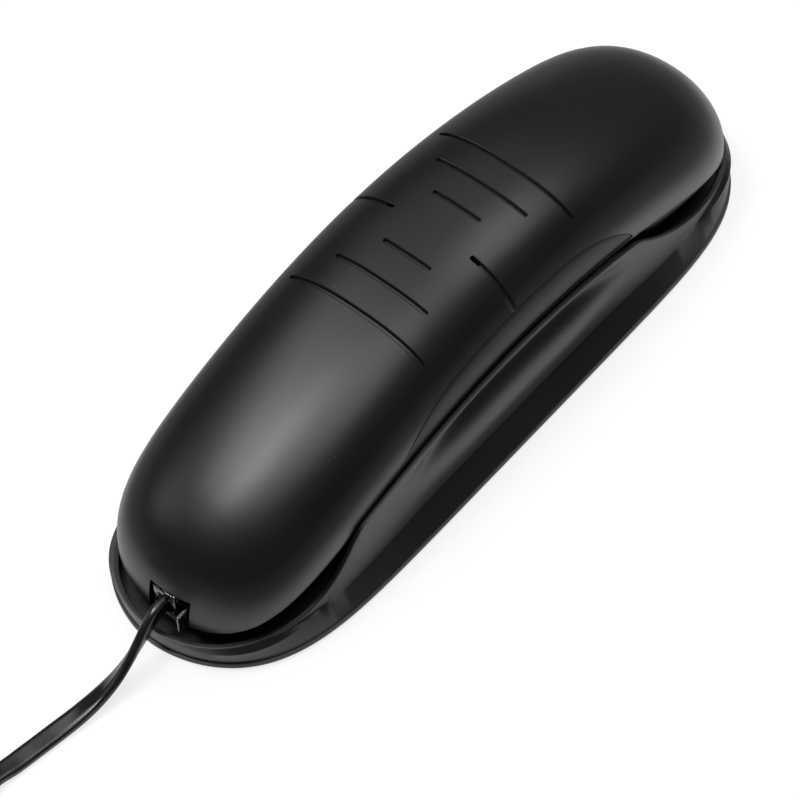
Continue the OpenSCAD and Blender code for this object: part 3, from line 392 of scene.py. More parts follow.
@dataclass(frozen=True)
class PhoneLines:
    """The curves that the shells are drawn from, in millimetres.

    Powers are a pair for oval: along the ends, then across the corners. A size with one value for
    each end of the phone has the mouthpiece's end first.
    """

    handset_half: float = 96.2
    handset_side: float = 25.8
    handset_powers: Pair = (10.4, 1.95)
    section_squareness: float = 2.58
    section_loss: float = 0.55
    crown_height: float = 53.5
    crown_fall: float = 24.5
    crown_bow: float = 7.7
    crown_powers: Pair = (13.5, 2.2)
    seam_height: float = 34.2
    seam_fall: float = 24.7
    seam_bow: float = 5.7
    seam_strip: float = 1.0
    face_height: float = 29.5
    face_bend: Pair = (34, 55)
    face_inset: float = 6.5
    face_round: float = 1.7
    end_height: float = 7.6
    end_middle: float = 72
    end_reach: float = 90
    end_slope: float = 0.18
    wall: float = 1.8
    base_half: float = 100.0
    base_side: float = 31.5
    base_bottom: float = 0.6
    plate_top: float = 2.2
    lip_height: float = 2.1
    ridge_side: float = 27.1
    ridge_out: float = 0.1
    ridge_waist: float = 0.034
    ridge_waist_reach: Pair = (25, 60)
    ridge_height: float = 6.7
    ridge_powers: Pair = (10.3, 1.72)
    saddle_reach: Pair = (27, 44)
    rim_height: float = 8.3
    rim_half: float = 99.0
    rim_side: float = 26.1
    rim_powers: Pair = (7.2, 1.95)
    rim_start: Pair = (58.5, 43.5)
    rim_end: Pair = (84, 96)
    rim_drop_power: Pair = (2.6, 2.0)
    rim_below_seam: Pair = (0.6, 1.9)
    rim_inner_edge: float = 0.1
    rim_shoulder: float = 0.6
    rim_step: Pair = (4.2, 4.4)
    step_start: Pair = (57, 39)
    step_full: Pair = (61, 47)
    step_fade: Pair = (62, 60)
    step_end: Pair = (88, 92)
    scoop_depth: float = 3.4
    scoop_height: float = 0.74
    scoop_spread: float = 0.13
    swell_depth: float = 0.8
    swell_height: float = 0.34
    swell_spread: float = 0.2
    scoop_reach: Pair = (16, 44)
    seat_gap: float = 0.35

    def span(self, y: float) -> float:
        """Square of the distance from the middle, as a share of 100 mm."""
        return (y / 100) ** 2

    def by_end(self, pair: Pair, y: float) -> float:
        """The value of a pair for the end of the phone that y lies in."""
        return pair[0] if y < 0 else pair[1]

    def crown(self, y: float) -> float:
        """Height of the handset's top line."""
        q = self.span(y)
        return self.crown_height - (self.crown_fall + self.crown_bow) * q + self.crown_bow * q * q

    def seam(self, y: float) -> float:
        """Height of the seam between the handset's two shells."""
        q = self.span(y)
        return self.seam_height - (self.seam_fall + self.seam_bow) * q + self.seam_bow * q * q

    def end_plane(self, y: float) -> float:
        """Height of the tilted plane at an end of the handset's face."""
        return self.end_height - (min(abs(y), self.end_reach) - self.end_middle) * self.end_slope

    def face(self, y: float) -> float:
        """Height of the handset's face."""
        return mix(self.face_height, self.end_plane(y), smooth_step(abs(y), *self.face_bend))

    def face_depth(self, share: float) -> float:
        """Share of the drop from the seam to the face, at a share of the way in from the side."""
        return 1 - (1 - share) ** self.face_round

    def section_power(self, y: float) -> float:
        """Squareness of the handset's cross-section."""
        return self.section_squareness - self.section_loss * self.span(y)

    def side_at(self, y: float, inset: float = 0.0) -> float:
        """Half width of the handset at its seam."""
        return oval(self.handset_side - inset, self.handset_half - inset, *self.handset_powers, y)

    def end_round(self, y: float, inset: float = 0.0) -> float:
        """Share of the crown's height that the rounded ends leave."""
        return oval(1.0, self.handset_half - inset, *self.crown_powers, y)

    def back_point(self, y: float, angle: float, inset: float = 0.0) -> Point:
        """A point of the back's surface.

        Args:
            y: Place along the handset.
            angle: 0 at the right seam, half a turn at the left seam, in radians.
            inset: Depth of the surface under the outer one.

        Returns:
            The point in millimetres.
        """
        power = self.section_power(y)
        across = math.cos(angle)
        rise = max(0.0, math.sin(angle))
        x = math.copysign(abs(across) ** (2 / power), across) * self.side_at(y, inset)
        low = self.seam(y)
        height = (self.crown(y) - inset - low) * self.end_round(y, inset)
        return (x, y, low + height * rise ** (2 / power))

    def back_over(self, x: float, y: float) -> float:
        """Finds the back's outer surface over a point of the plan.

        Args:
            x: Place across the phone.
            y: Place along the phone.

        Returns:
            Its height.
        """
        power = self.section_power(y)
        share = max(0.0, 1 - (abs(x) / self.side_at(y)) ** power) ** (1 / power)
        return mix(self.seam(y), self.crown(y), share * self.end_round(y))

    def back_side(self, y: float, rise: float) -> float:
        """Finds how wide the back is.

        Args:
            y: Place along the phone.
            rise: Height above the seam.

        Returns:
            Its half width there.
        """
        power = self.section_power(y)
        level = max(0.0, rise / (self.crown(y) - self.seam(y)))
        share = min(1.0, level / max(1e-6, self.end_round(y)))
        return self.side_at(y) * max(0.0, 1 - share**power) ** (1 / power)

    def on_saddle(self, y: float) -> float:
        """1 over the base's saddle and 0 in its wells."""
        return 1 - smooth_step(abs(y), *self.saddle_reach)

    def below_seam(self, y: float) -> float:
        """How far the rim stands below the handset's seam at the waist."""
        low, high = self.saddle_reach
        return mix(*self.rim_below_seam, smooth_step(y, -low, high))

    def rim(self, y: float) -> float:
        """Draws the rim.

        Args:
            y: Place along the phone.

        Returns:
            Its height: just below the seam at the waist, then down round the wells.
        """
        start, end = self.by_end(self.rim_start, y), self.by_end(self.rim_end, y)
        gone = min(1.0, max(0.0, (abs(y) - start) / (end - start)))
        left = (1 - gone) ** self.by_end(self.rim_drop_power, y)
        return mix(self.rim_height, self.seam(y) - self.below_seam(y), left)

    def rim_x(self, y: float, out: float) -> float:
        """Half width of the rim, a distance outside its inner edge."""
        return oval(self.rim_side + out, self.rim_half + out, *self.rim_powers, y)

    def step_down(self, y: float) -> float:
        """Draws the rim's outer step.

        Args:
            y: Place along the phone.

        Returns:
            Its depth.
        """
        start, full, fade, end = (
            self.by_end(pair, y) for pair in (self.step_start, self.step_full, self.step_fade, self.step_end)
        )
        away = smooth_step(abs(y), start, full) * (1 - smooth_step(abs(y), fade, end))
        return self.by_end(self.rim_step, y) * away + self.rim_inner_edge

    def ridge_x(self, y: float) -> float:
        """Half width of the base over its ridge, drawn in at the waist."""
        drawn = self.ridge_waist * (1 - smooth_step(abs(y), *self.ridge_waist_reach))
        return oval(self.ridge_side * (1 - drawn), self.base_half + self.ridge_out, *self.ridge_powers, y)

    def scoop(self, y: float, share: float) -> float:
        """Draws the flank's scoop and the swell below it.

        Args:
            y: Place along the phone.
            share: Share of the way up the flank.

        Returns:
            How far the flank lies out there.
        """
        middle = 1 - smooth_step(abs(y), *self.scoop_reach)
        dip = math.exp(-(((share - self.scoop_height) / self.scoop_spread) ** 2))
        swell = math.exp(-(((share - self.swell_height) / self.swell_spread) ** 2))
        return middle * (self.swell_depth * swell - self.scoop_depth * dip)


LINES = PhoneLines()


@dataclass
class RingStack:
    """A closed solid through level-curve rings that run from end to end of the phone."""

    stations: int = 96
    rings: list[list[Point]] = field(default_factory=list)

    def ring_y(self, i: int, half: float) -> float:
        """Place along the phone of a ring's point."""
        turn = -90 + 180 * i / self.stations if i <= self.stations else 270 - 180 * i / self.stations
        return half * math.sin(math.radians(turn))

    def add(self, half: float, width: Line, height: Line) -> None:
        """Adds a ring that lies on the lines given.

        Args:
            half: Half length of the ring.
            width: Half width at each place along the phone.
            height: Height at each place along the phone.
        """
        ring: list[Point] = []
        for i in range(2 * self.stations):
            y = self.ring_y(i, half)
            x = 0.0 if i % self.stations == 0 else width(y)
            ring.append((x if i < self.stations else -x, y, height(y)))
        self.rings.append(ring)

    def strip_rows(self, which: int, line: Line, across: int, points: list[Point]) -> list[list[int]]:
        """Adds the points that close a ring, in rows from its right side to its left.

        Args:
            which: Number of the ring in the stack.
            line: Height along the middle of the closing surface.
            across: Strips between a ring's side and the middle.
            points: The stack's points, to which the new ones are added.

        Returns:
            The numbers of each row's points.
        """
        count = 2 * self.stations
        rows: list[list[int]] = []
        for i in range(self.stations + 1):
            x, y, z = self.rings[which][i]
            row = [which * count + i]
            if 0 < i < self.stations:
                for step in range(1, 2 * across):
                    t = 1 - step / across
                    row.append(len(points))
                    points.append((x * t, y, mix(line(y), z, t**2)))
            row.append(which * count + (count - i) % count)
            rows.append(row)
        return rows

    def build(
        self, name: str, low: Line, high: Line, across: int = 6, sharp: float = SHARP_ANGLE
    ) -> Piece:
        """Closes the stack over strips across its first and last rings.

        Args:
            name: Name of the object.
            low: Height along the middle of the first closing surface.
            high: Height along the middle of the last closing surface.
            across: Strips between a ring's side and the middle.
            sharp: Angle in degrees past which an edge stays sharp.

        Returns:
            The closed object.
        """
        count = 2 * self.stations
        points = [point for ring in self.rings for point in ring]
        faces: list[Face] = []
        for k in range(len(self.rings) - 1):
            for i in range(count):
                j = (i + 1) % count
                faces.append((k * count + i, (k + 1) * count + i, (k + 1) * count + j, k * count + j))
        for which, line in ((0, low), (len(self.rings) - 1, high)):
            rows = self.strip_rows(which, line, across, points)
            for a, b in zip(rows, rows[1:]):
                if len(a) == 2:
                    faces += [(a[0], b[j], b[j + 1]) for j in range(len(b) - 1)]
                elif len(b) == 2:
                    faces += [(a[j], b[0], a[j + 1]) for j in range(len(a) - 1)]
                else:
                    faces += [(a[j], b[j], b[j + 1], a[j + 1]) for j in range(len(a) - 1)]
        return make_piece(name, points, faces, sharp)


# ---------------------------------------------------------------------------
# Finishes
# ---------------------------------------------------------------------------


class Graph:
    """A short way to add and link the shader nodes of a material or a world."""

    noise_span: Pair = (0.3, 0.7)

    def __init__(
        self, owner: bpy.types.Material | bpy.types.World, end: str = "ShaderNodeOutputMaterial"
    ) -> None:
        """Clears the owner's nodes and adds its output.

        Args:
            owner: The material or world that the nodes are for.
            end: Blender's name of the output node.
        """
        self.owner = owner
        owner.use_nodes = True
        self.nodes = owner.node_tree.nodes
        self.links = owner.node_tree.links
        self.nodes.clear()
        self.output = self.nodes.new(end)

    def add(self, kind: str, **values: object) -> bpy.types.Node:
        """Adds a node.

        Args:
            kind: Blender's name of the node.
            values: Settings, or inputs where the name starts with in_.

        Returns:
            The new node.
        """
        node = self.nodes.new(kind)
        for key, value in values.items():
            if key.startswith("in_"):
                node.inputs[key[3:].replace("_", " ")].default_value = value
            else:
                setattr(node, key, value)
        return node

    def link(self, start: Socket, end: Socket) -> None:
        """Links two sockets."""
        self.links.new(start, end)

    def place(self) -> Socket:
        """Returns the piece's own place."""
        return self.add("ShaderNodeTexCoord").outputs["Object"]

    def join(self, kind: str, first: Socket, second: Socket) -> Socket:
        """Joins two factors.

        Args:
            kind: The sum that joins them, such as MAXIMUM.
            first: The first factor.
            second: The second factor.

        Returns:
            The joined factor.
        """
        both = self.add("ShaderNodeMath", operation=kind)
        self.link(first, both.inputs[0])
        self.link(second, both.inputs[1])
        return both.outputs[0]

    def noise(self, place: Socket, size: float, detail: float = 2.0) -> Socket:
        """Adds noise.

        Args:
            place: Where the noise is read.
            size: Size of its features, in metres.
            detail: Number of finer layers.

        Returns:
            The noise as a factor.
        """
        node = self.add("ShaderNodeTexNoise", in_Scale=1 / size, in_Detail=detail)
        self.link(place, node.inputs["Vector"])
        return node.outputs["Fac"]

    def ranged(self, source: Socket, low: float, high: float) -> Socket:
        """Maps the usual span of a noise onto a range.

        Args:
            source: The noise.
            low: Start of the range.
            high: End of the range.

        Returns:
            The mapped value.
        """
        node = self.add("ShaderNodeMapRange")
        for socket, value in zip(("From Min", "From Max", "To Min", "To Max"), (*self.noise_span, low, high)):
            node.inputs[socket].default_value = value
        self.link(source, node.inputs["Value"])
        return node.outputs["Result"]

    def two_tone(self, factor: Socket, dark: Colour, light: Colour) -> Socket:
        """Mixes two colours.

        Args:
            factor: Share of the light colour.
            dark: Colour at a factor of 0.
            light: Colour at a factor of 1.

        Returns:
            The mixed colour.
        """
        node = self.add("ShaderNodeMix", data_type="RGBA")
        node.inputs[6].default_value = (*dark, 1)
        node.inputs[7].default_value = (*light, 1)
        self.link(factor, node.inputs[0])
        return node.outputs[2]

    def finish(self, shader: bpy.types.Node, height: Socket, strength: float, depth: float) -> None:
        """Gives a shader its relief and ends the material with it.

        Args:
            shader: The shader of the surface.
            height: The relief as a factor.
            strength: Share of the relief that shows.
            depth: Depth of the relief, in metres.
        """
        bump = self.add("ShaderNodeBump", in_Strength=strength, in_Distance=depth)
        self.link(height, bump.inputs["Height"])
        self.link(bump.outputs["Normal"], shader.inputs["Normal"])
        self.link(shader.outputs[0], self.output.inputs["Surface"])


def new_graph(name: str) -> Graph:
    """Starts a material of the name given."""
    return Graph(bpy.data.materials.new(name))


@dataclass(frozen=True)
class Moulding:
    """A moulded plastic, rubber or paint, with its grain and small differences in tone and gloss.

    Grain and relief are in millimetres. Dust is the size of its specks, as a share of dust_spacing.
    """

    name: str
    colour: Colour
    roughness: float
    grain: float = 0.3
    relief: float = 0.006
    tone: float = 0.18
    gloss_change: float = 0.05
    dust: float = 0.0
    tone_size: float = 18
    gloss_size: float = 3.5
    dust_spacing: float = 9
    dust_colour: Colour = (0.28, 0.27, 0.26)

    def dusted(self, graph: Graph, place: Socket, colour: Socket) -> Socket:
        """Lays fine specks of dust over a colour.

        Args:
            graph: The material's nodes.
            place: Where the specks are read.
            colour: The clean colour.

        Returns:
            The dusty colour.
        """
        cells = graph.add("ShaderNodeTexVoronoi", in_Scale=1 / (self.dust_spacing * MM))
        graph.link(place, cells.inputs["Vector"])
        speck = graph.add("ShaderNodeMath", operation="LESS_THAN")
        speck.inputs[1].default_value = self.dust
        graph.link(cells.outputs["Distance"], speck.inputs[0])
        lint = graph.add("ShaderNodeMix", data_type="RGBA")
        lint.inputs[7].default_value = (*self.dust_colour, 1)
        graph.link(speck.outputs[0], lint.inputs[0])
        graph.link(colour, lint.inputs[6])
        return lint.outputs[2]

    def material(self) -> bpy.types.Material:
        """Builds the material.

        Returns:
            A material that reads the piece's own place.
        """
        graph = new_graph(self.name)
        place = graph.place()
        shader = graph.add("ShaderNodeBsdfPrincipled")
        broad = graph.noise(place, self.tone_size * MM, 3)
        dark = tuple(c * (1 - self.tone) for c in self.colour)
        light = tuple(c * (1 + self.tone) for c in self.colour)
        colour = graph.two_tone(graph.ranged(broad, 0, 1), dark, light)
        if self.dust > 0:
            colour = self.dusted(graph, place, colour)
        graph.link(colour, shader.inputs["Base Color"])
        middle = graph.noise(place, self.gloss_size * MM)
        rough = graph.ranged(middle, self.roughness - self.gloss_change, self.roughness + self.gloss_change)
        graph.link(rough, shader.inputs["Roughness"])
        graph.finish(shader, graph.noise(place, self.grain * MM), 1.0, self.relief * MM)
        return graph.owner


@dataclass(frozen=True)
class Metalwork:
    """Plated or drawn metal, brushed a little along one axis. Sizes and relief are in millimetres."""

    name: str
    colour: Colour
    roughness: float
    stretch: Point = (1.0, 1.0, 1.0)
    streak_size: float = 0.5
    tone_size: float = 7
    tone: float = 0.16
    gloss_change: float = 0.08
    relief: float = 0.004
    relief_share: float = 0.6

    def material(self) -> bpy.types.Material:
        """Builds the material.

        Returns:
            A metal that reads the piece's own place.
        """
        graph = new_graph(self.name)
        place = graph.place()
        mapping = graph.add("ShaderNodeMapping", in_Scale=self.stretch)
        graph.link(place, mapping.inputs["Vector"])
        shader = graph.add("ShaderNodeBsdfPrincipled", in_Metallic=1.0)
        streak = graph.noise(mapping.outputs[0], self.streak_size * MM, 3)
        broad = graph.noise(place, self.tone_size * MM)
        dark = tuple(c * (1 - self.tone) for c in self.colour)
        graph.link(graph.two_tone(graph.ranged(broad, 0, 1), dark, self.colour), shader.inputs["Base Color"])
        rough = graph.ranged(streak, self.roughness - self.gloss_change, self.roughness + self.gloss_change)
        graph.link(rough, shader.inputs["Roughness"])
        graph.finish(shader, streak, self.relief_share, self.relief * MM)
        return graph.owner


@dataclass(frozen=True)
class ClearPlastic:
    """Clear moulded plastic with faint flow marks, their size and relief in millimetres."""

    name: str
    colour: Colour
    roughness: float
    refraction: float = 1.56
    mark_size: float = 1.6
    mark_tone: float = 0.06
    relief: float = 0.02
    relief_share: float = 0.5

    def material(self) -> bpy.types.Material:
        """Builds the material.

        Returns:
            A clear material that reads the piece's own place.
        """
        graph = new_graph(self.name)
        place = graph.place()
        shader = graph.add("ShaderNodeBsdfPrincipled", in_Transmission_Weight=1.0, in_IOR=self.refraction)
        marks = graph.noise(place, self.mark_size * MM, 3)
        pale = tuple(min(1.0, c * (1 + self.mark_tone)) for c in self.colour)
        graph.link(graph.two_tone(graph.ranged(marks, 0, 1), self.colour, pale), shader.inputs["Base Color"])
        rough = graph.ranged(marks, self.roughness * 0.5, self.roughness * 1.5)
        graph.link(rough, shader.inputs["Roughness"])
        graph.finish(shader, marks, self.relief_share, self.relief * MM)
        return graph.owner


Finish = Moulding | Metalwork | ClearPlastic

SATIN_BLACK = Moulding(
    "satin_black_shell", (0.0072, 0.0067, 0.0066), 0.35, 0.28, 0.004, gloss_change=0.006, dust=0.012
)
TEXTURED_GRIP = Moulding("textured_black_grip", (0.009, 0.009, 0.009), 0.5, 0.42, 0.012, gloss_change=0.01)
TEXTURED_BASE = Moulding(
    "textured_black_base", (0.009, 0.009, 0.009), 0.42, 0.34, 0.008, gloss_change=0.01, dust=0.01
)
KEY_GREY = Moulding("satin_grey_key", (0.035, 0.035, 0.037), 0.4, 0.25, 0.004)
LEGEND_WHITE = Moulding("printed_white_legend", (0.72, 0.72, 0.7), 0.55, 0.2, 0.002, tone=0.05)
SILICONE = Moulding("grey_silicone", (0.33, 0.35, 0.38), 0.6, 0.6, 0.01)
SOLDER_MASK = Moulding("green_solder_mask", (0.02, 0.11, 0.045), 0.35, 1.2, 0.02, tone=0.3)
RUBBER = Moulding("black_rubber", (0.014, 0.014, 0.014), 0.75, 0.5, 0.02)
FOAM = Moulding("grey_foam", (0.05, 0.05, 0.052), 0.95, 0.7, 0.12)
BLACK_PART = Moulding("black_moulded_part", (0.015, 0.015, 0.016), 0.5, 0.4, 0.008)
CORD_BLACK = Moulding("glossy_black_cord", (0.0105, 0.0102, 0.0105), 0.24, 1.4, 0.012, gloss_change=0.06)
STEEL = Metalwork("plated_steel", (0.56, 0.56, 0.57), 0.32, (1.0, 12.0, 12.0))
SPRING_STEEL = Metalwork("spring_steel", (0.5, 0.5, 0.52), 0.25)
GOLD = Metalwork("gold_contact", (0.86, 0.62, 0.22), 0.22)
CLEAR = ClearPlastic("clear_plug_plastic", (0.9, 0.93, 0.94), 0.09)


class PaintShop:
    """Makes each finish's material once and gives it to pieces."""

    def __init__(self) -> None:
        """Starts with no materials made."""
        self.made: dict[str, bpy.types.Material] = {}

    def of(self, finish: Finish) -> bpy.types.Material:
        """Makes a finish's material the first time.

        Args:
            finish: The finish.

        Returns:
            Its material.
        """
        if finish.name not in self.made:
            self.made[finish.name] = finish.material()
        return self.made[finish.name]

    def dress(self, piece: Piece, finish: Finish) -> None:
        """Gives a whole piece one finish."""
        piece.data.materials.clear()
        piece.data.materials.append(self.of(finish))

    def dress_node(self, node: Piece, finish: Finish) -> None:
        """Gives a frame node one finish in its object's own slots.

        Args:
            node: One of the frame's own pieces.
            finish: The finish that it takes.
        """
        if not node.material_slots:
            node.data.materials.append(None)
        for slot in node.material_slots:
            slot.link = "OBJECT"
            slot.material = self.of(finish)


# ---------------------------------------------------------------------------
# Geometry Nodes patterns
# ---------------------------------------------------------------------------


class Pattern:
    """A Geometry Nodes tree with named inputs, ended by Realize Instances and Set Material."""

    def __init__(self, name: str, inputs: dict[str, str]) -> None:
        """Starts the tree.

        Args:
            name: Name of the tree.
            inputs: Kind of socket for each named input.
        """
        self.tree = bpy.data.node_groups.new(name, "GeometryNodeTree")
        self.sockets: dict[str, str] = {}
        for label, kind in inputs.items():
            made = self.tree.interface.new_socket(name=label, in_out="INPUT", socket_type=kind)
            self.sockets[label] = made.identifier
        self.tree.interface.new_socket(name="Geometry", in_out="OUTPUT", socket_type="NodeSocketGeometry")
        self.given = self.tree.nodes.new("NodeGroupInput")

    def node(self, kind: str) -> bpy.types.Node:
        """Adds a node of a kind."""
        return self.tree.nodes.new(kind)

    def link(self, start: Socket, end: Socket) -> None:
        """Links two sockets."""
        self.tree.links.new(start, end)

    def value(self, kind: str, socket: str, number: float | Point) -> bpy.types.Node:
        """Adds a node with one of its inputs set.

        Args:
            kind: Blender's name of the node.
            socket: Name of the input.
            number: The input's value.

        Returns:
            The new node.
        """
        made = self.node(kind)
        made.inputs[socket].default_value = number
        return made

    def times(self, start: Socket, factor: float) -> Socket:
        """Multiplies a value.

        Args:
            start: The value.
            factor: What it is multiplied by.

        Returns:
            The product.
        """
        made = self.node("ShaderNodeMath")
        made.operation = "MULTIPLY"
        made.inputs[1].default_value = factor
        self.link(start, made.inputs[0])
        return made.outputs[0]

    def end_with(self, geometry: Socket) -> None:
        """Ends the tree with real geometry in the given finish.

        Args:
            geometry: The instances to make real.
        """
        real = self.node("GeometryNodeRealizeInstances")
        paint = self.node("GeometryNodeSetMaterial")
        out = self.node("NodeGroupOutput")
        self.link(geometry, real.inputs[0])
        self.link(real.outputs[0], paint.inputs["Geometry"])
        self.link(self.given.outputs["Finish"], paint.inputs["Material"])
        self.link(paint.outputs[0], out.inputs[0])

    def run(self, name: str, values: dict[str, object]) -> Piece:
        """Runs the tree once and keeps its result as a plain mesh.

        Args:
            name: Name of the finished piece.
            values: Value of each named input.

        Returns:
            The finished piece, with no modifier left on it.
        """
        host = bpy.data.objects.new(name, bpy.data.meshes.new(name))
        bpy.context.scene.collection.objects.link(host)
        live = host.modifiers.new("pattern", "NODES")
        live.node_group = self.tree
        for label, value in values.items():
            live[self.sockets[label]] = value
        settle(host, FINE_ANGLE)
        return host


def corner_pattern() -> Pattern:
    """A part at the four corners of a rectangle.

    Returns:
        The tree, with the spacings, the part and its finish as inputs.
    """
    made = Pattern(
        "corner_pattern",
        {
            "Spacing X": "NodeSocketFloat",
            "Spacing Y": "NodeSocketFloat",
            "Columns": "NodeSocketInt",
            "Part": "NodeSocketObject",
            "Finish": "NodeSocketMaterial",
        },
    )
    grid = made.value("GeometryNodeMeshGrid", "Vertices Y", 2)
    info = made.node("GeometryNodeObjectInfo")
    copies = made.node("GeometryNodeInstanceOnPoints")
    made.link(made.given.outputs["Spacing X"], grid.inputs["Size X"])
    made.link(made.given.outputs["Spacing Y"], grid.inputs["Size Y"])
    made.link(made.given.outputs["Columns"], grid.inputs["Vertices X"])
    made.link(made.given.outputs["Part"], info.inputs["Object"])
    made.link(grid.outputs["Mesh"], copies.inputs["Points"])
    made.link(info.outputs["Geometry"], copies.inputs["Instance"])
    made.end_with(copies.outputs[0])
    return made


def at_corners(
    corners: Pattern,
    name: str,
    part: Piece,
    spacing: Pair,
    columns: int,
    material: bpy.types.Material,
) -> Piece:
    """Repeats a part at the corners of a rectangle and deletes the one it was copied from.

    Args:
        corners: The corner pattern.
        name: Name of the finished piece.
        part: The part that is repeated.
        spacing: The rectangle's width and length in millimetres.
        columns: 2 for four corners, or 1 for the middle of its two ends.
        material: The part's material.

    Returns:
        The finished piece.
    """
    values = {"Spacing X": spacing[0] * MM, "Spacing Y": spacing[1] * MM, "Columns": columns}
    piece = corners.run(name, {**values, "Part": part, "Finish": material})
    discard(part)
    return piece


def perforation_pattern(rings: Sequence[tuple[int, float, float]]) -> Pattern:
    """Round pins on rings about a centre, for piercing a grille.

    Args:
        rings: Number of holes, distance in pitches and turn in radians of each ring.

    Returns:
        The tree, with pitch, hole diameter, depth and finish as inputs.
    """
    made = Pattern(
        "perforation_pattern",
        {
            "Pitch": "NodeSocketFloat",
            "Hole Diameter": "NodeSocketFloat",
            "Depth": "NodeSocketFloat",
            "Finish": "NodeSocketMaterial",
        },
    )
    join = made.node("GeometryNodeJoinGeometry")
    for count, distance, angle in rings:
        ring = made.value("GeometryNodeMeshCircle", "Vertices", count)
        turn = made.value("GeometryNodeTransform", "Rotation", (0, 0, angle))
        made.link(made.times(made.given.outputs["Pitch"], distance), ring.inputs["Radius"])
        made.link(ring.outputs[0], turn.inputs["Geometry"])
        made.link(turn.outputs[0], join.inputs[0])
    pin = made.value("GeometryNodeMeshCylinder", "Vertices", 20)
    copies = made.node("GeometryNodeInstanceOnPoints")
    made.link(made.times(made.given.outputs["Hole Diameter"], 0.5), pin.inputs["Radius"])
    made.link(made.given.outputs["Depth"], pin.inputs["Depth"])
    made.link(join.outputs[0], copies.inputs["Points"])
    made.link(pin.outputs["Mesh"], copies.inputs["Instance"])
    made.end_with(copies.outputs[0])
    return made


# ---------------------------------------------------------------------------
# Camera and studio
# ---------------------------------------------------------------------------


@dataclass(frozen=True)
class PortraitCamera:
    """The camera, by its bearings round the phone: degrees and millimetres, but metres for its clip."""

    azimuth: float = 40.56
    elevation: float = 55.75
    roll: float = -0.99
    distance: float = 763.6
    across: float = -7.92
    upward: float = -19.61
    target_height: float = 20.0
    lens: float = 146.85
    sensor_width: float = 36
    clip: Pair = (0.01, 20)

    def build(self) -> None:
        """Makes the scene's camera."""
        az, el, roll = (math.radians(v) for v in (self.azimuth, self.elevation, self.roll))
        back = Vector((math.sin(az) * math.cos(el), -math.cos(az) * math.cos(el), math.sin(el)))
        right = Vector((math.cos(az), math.sin(az), 0))
        up = back.cross(right)
        axis_x = math.cos(roll) * right + math.sin(roll) * up
        axis_y = -math.sin(roll) * right + math.cos(roll) * up
        target = Vector((0, 0, self.target_height))
        place = target + back * self.distance + right * self.across + up * self.upward
        data = bpy.data.cameras.new("portrait_camera")
        data.lens = self.lens
        data.sensor_width = self.sensor_width
        data.clip_start, data.clip_end = self.clip
        camera = bpy.data.objects.new("portrait_camera", data)
        frame = Matrix((axis_x, axis_y, back)).transposed().to_4x4()
        camera.matrix_world = Matrix.Translation(place * MM) @ frame
        bpy.context.scene.collection.objects.link(camera)
        bpy.context.scene.camera = camera


@dataclass(frozen=True)
class SoftBox:
    """A studio lamp, square unless it has a length, by its bearings as seen from the phone."""

    name: str
    azimuth: float
    elevation: float
    distance: float
    size: float
    watts: float
    length: float = 0.0

    def build(self) -> None:
        """Hangs the lamp and points it at the phone."""
        az, el = math.radians(self.azimuth), math.radians(self.elevation)
        way = Vector((math.cos(az) * math.cos(el), math.sin(az) * math.cos(el), math.sin(el)))
        data = bpy.data.lights.new(self.name, "AREA")
        data.energy = self.watts
        data.color = WARM_WHITE
        data.shape = "RECTANGLE"
        data.size = self.size
        data.size_y = self.length or self.size
        lamp = bpy.data.objects.new(self.name, data)
        facing = way.to_track_quat("Z", "Y").to_matrix().to_4x4()
        lamp.matrix_world = Matrix.Translation(way * self.distance) @ facing
        bpy.context.scene.collection.objects.link(lamp)


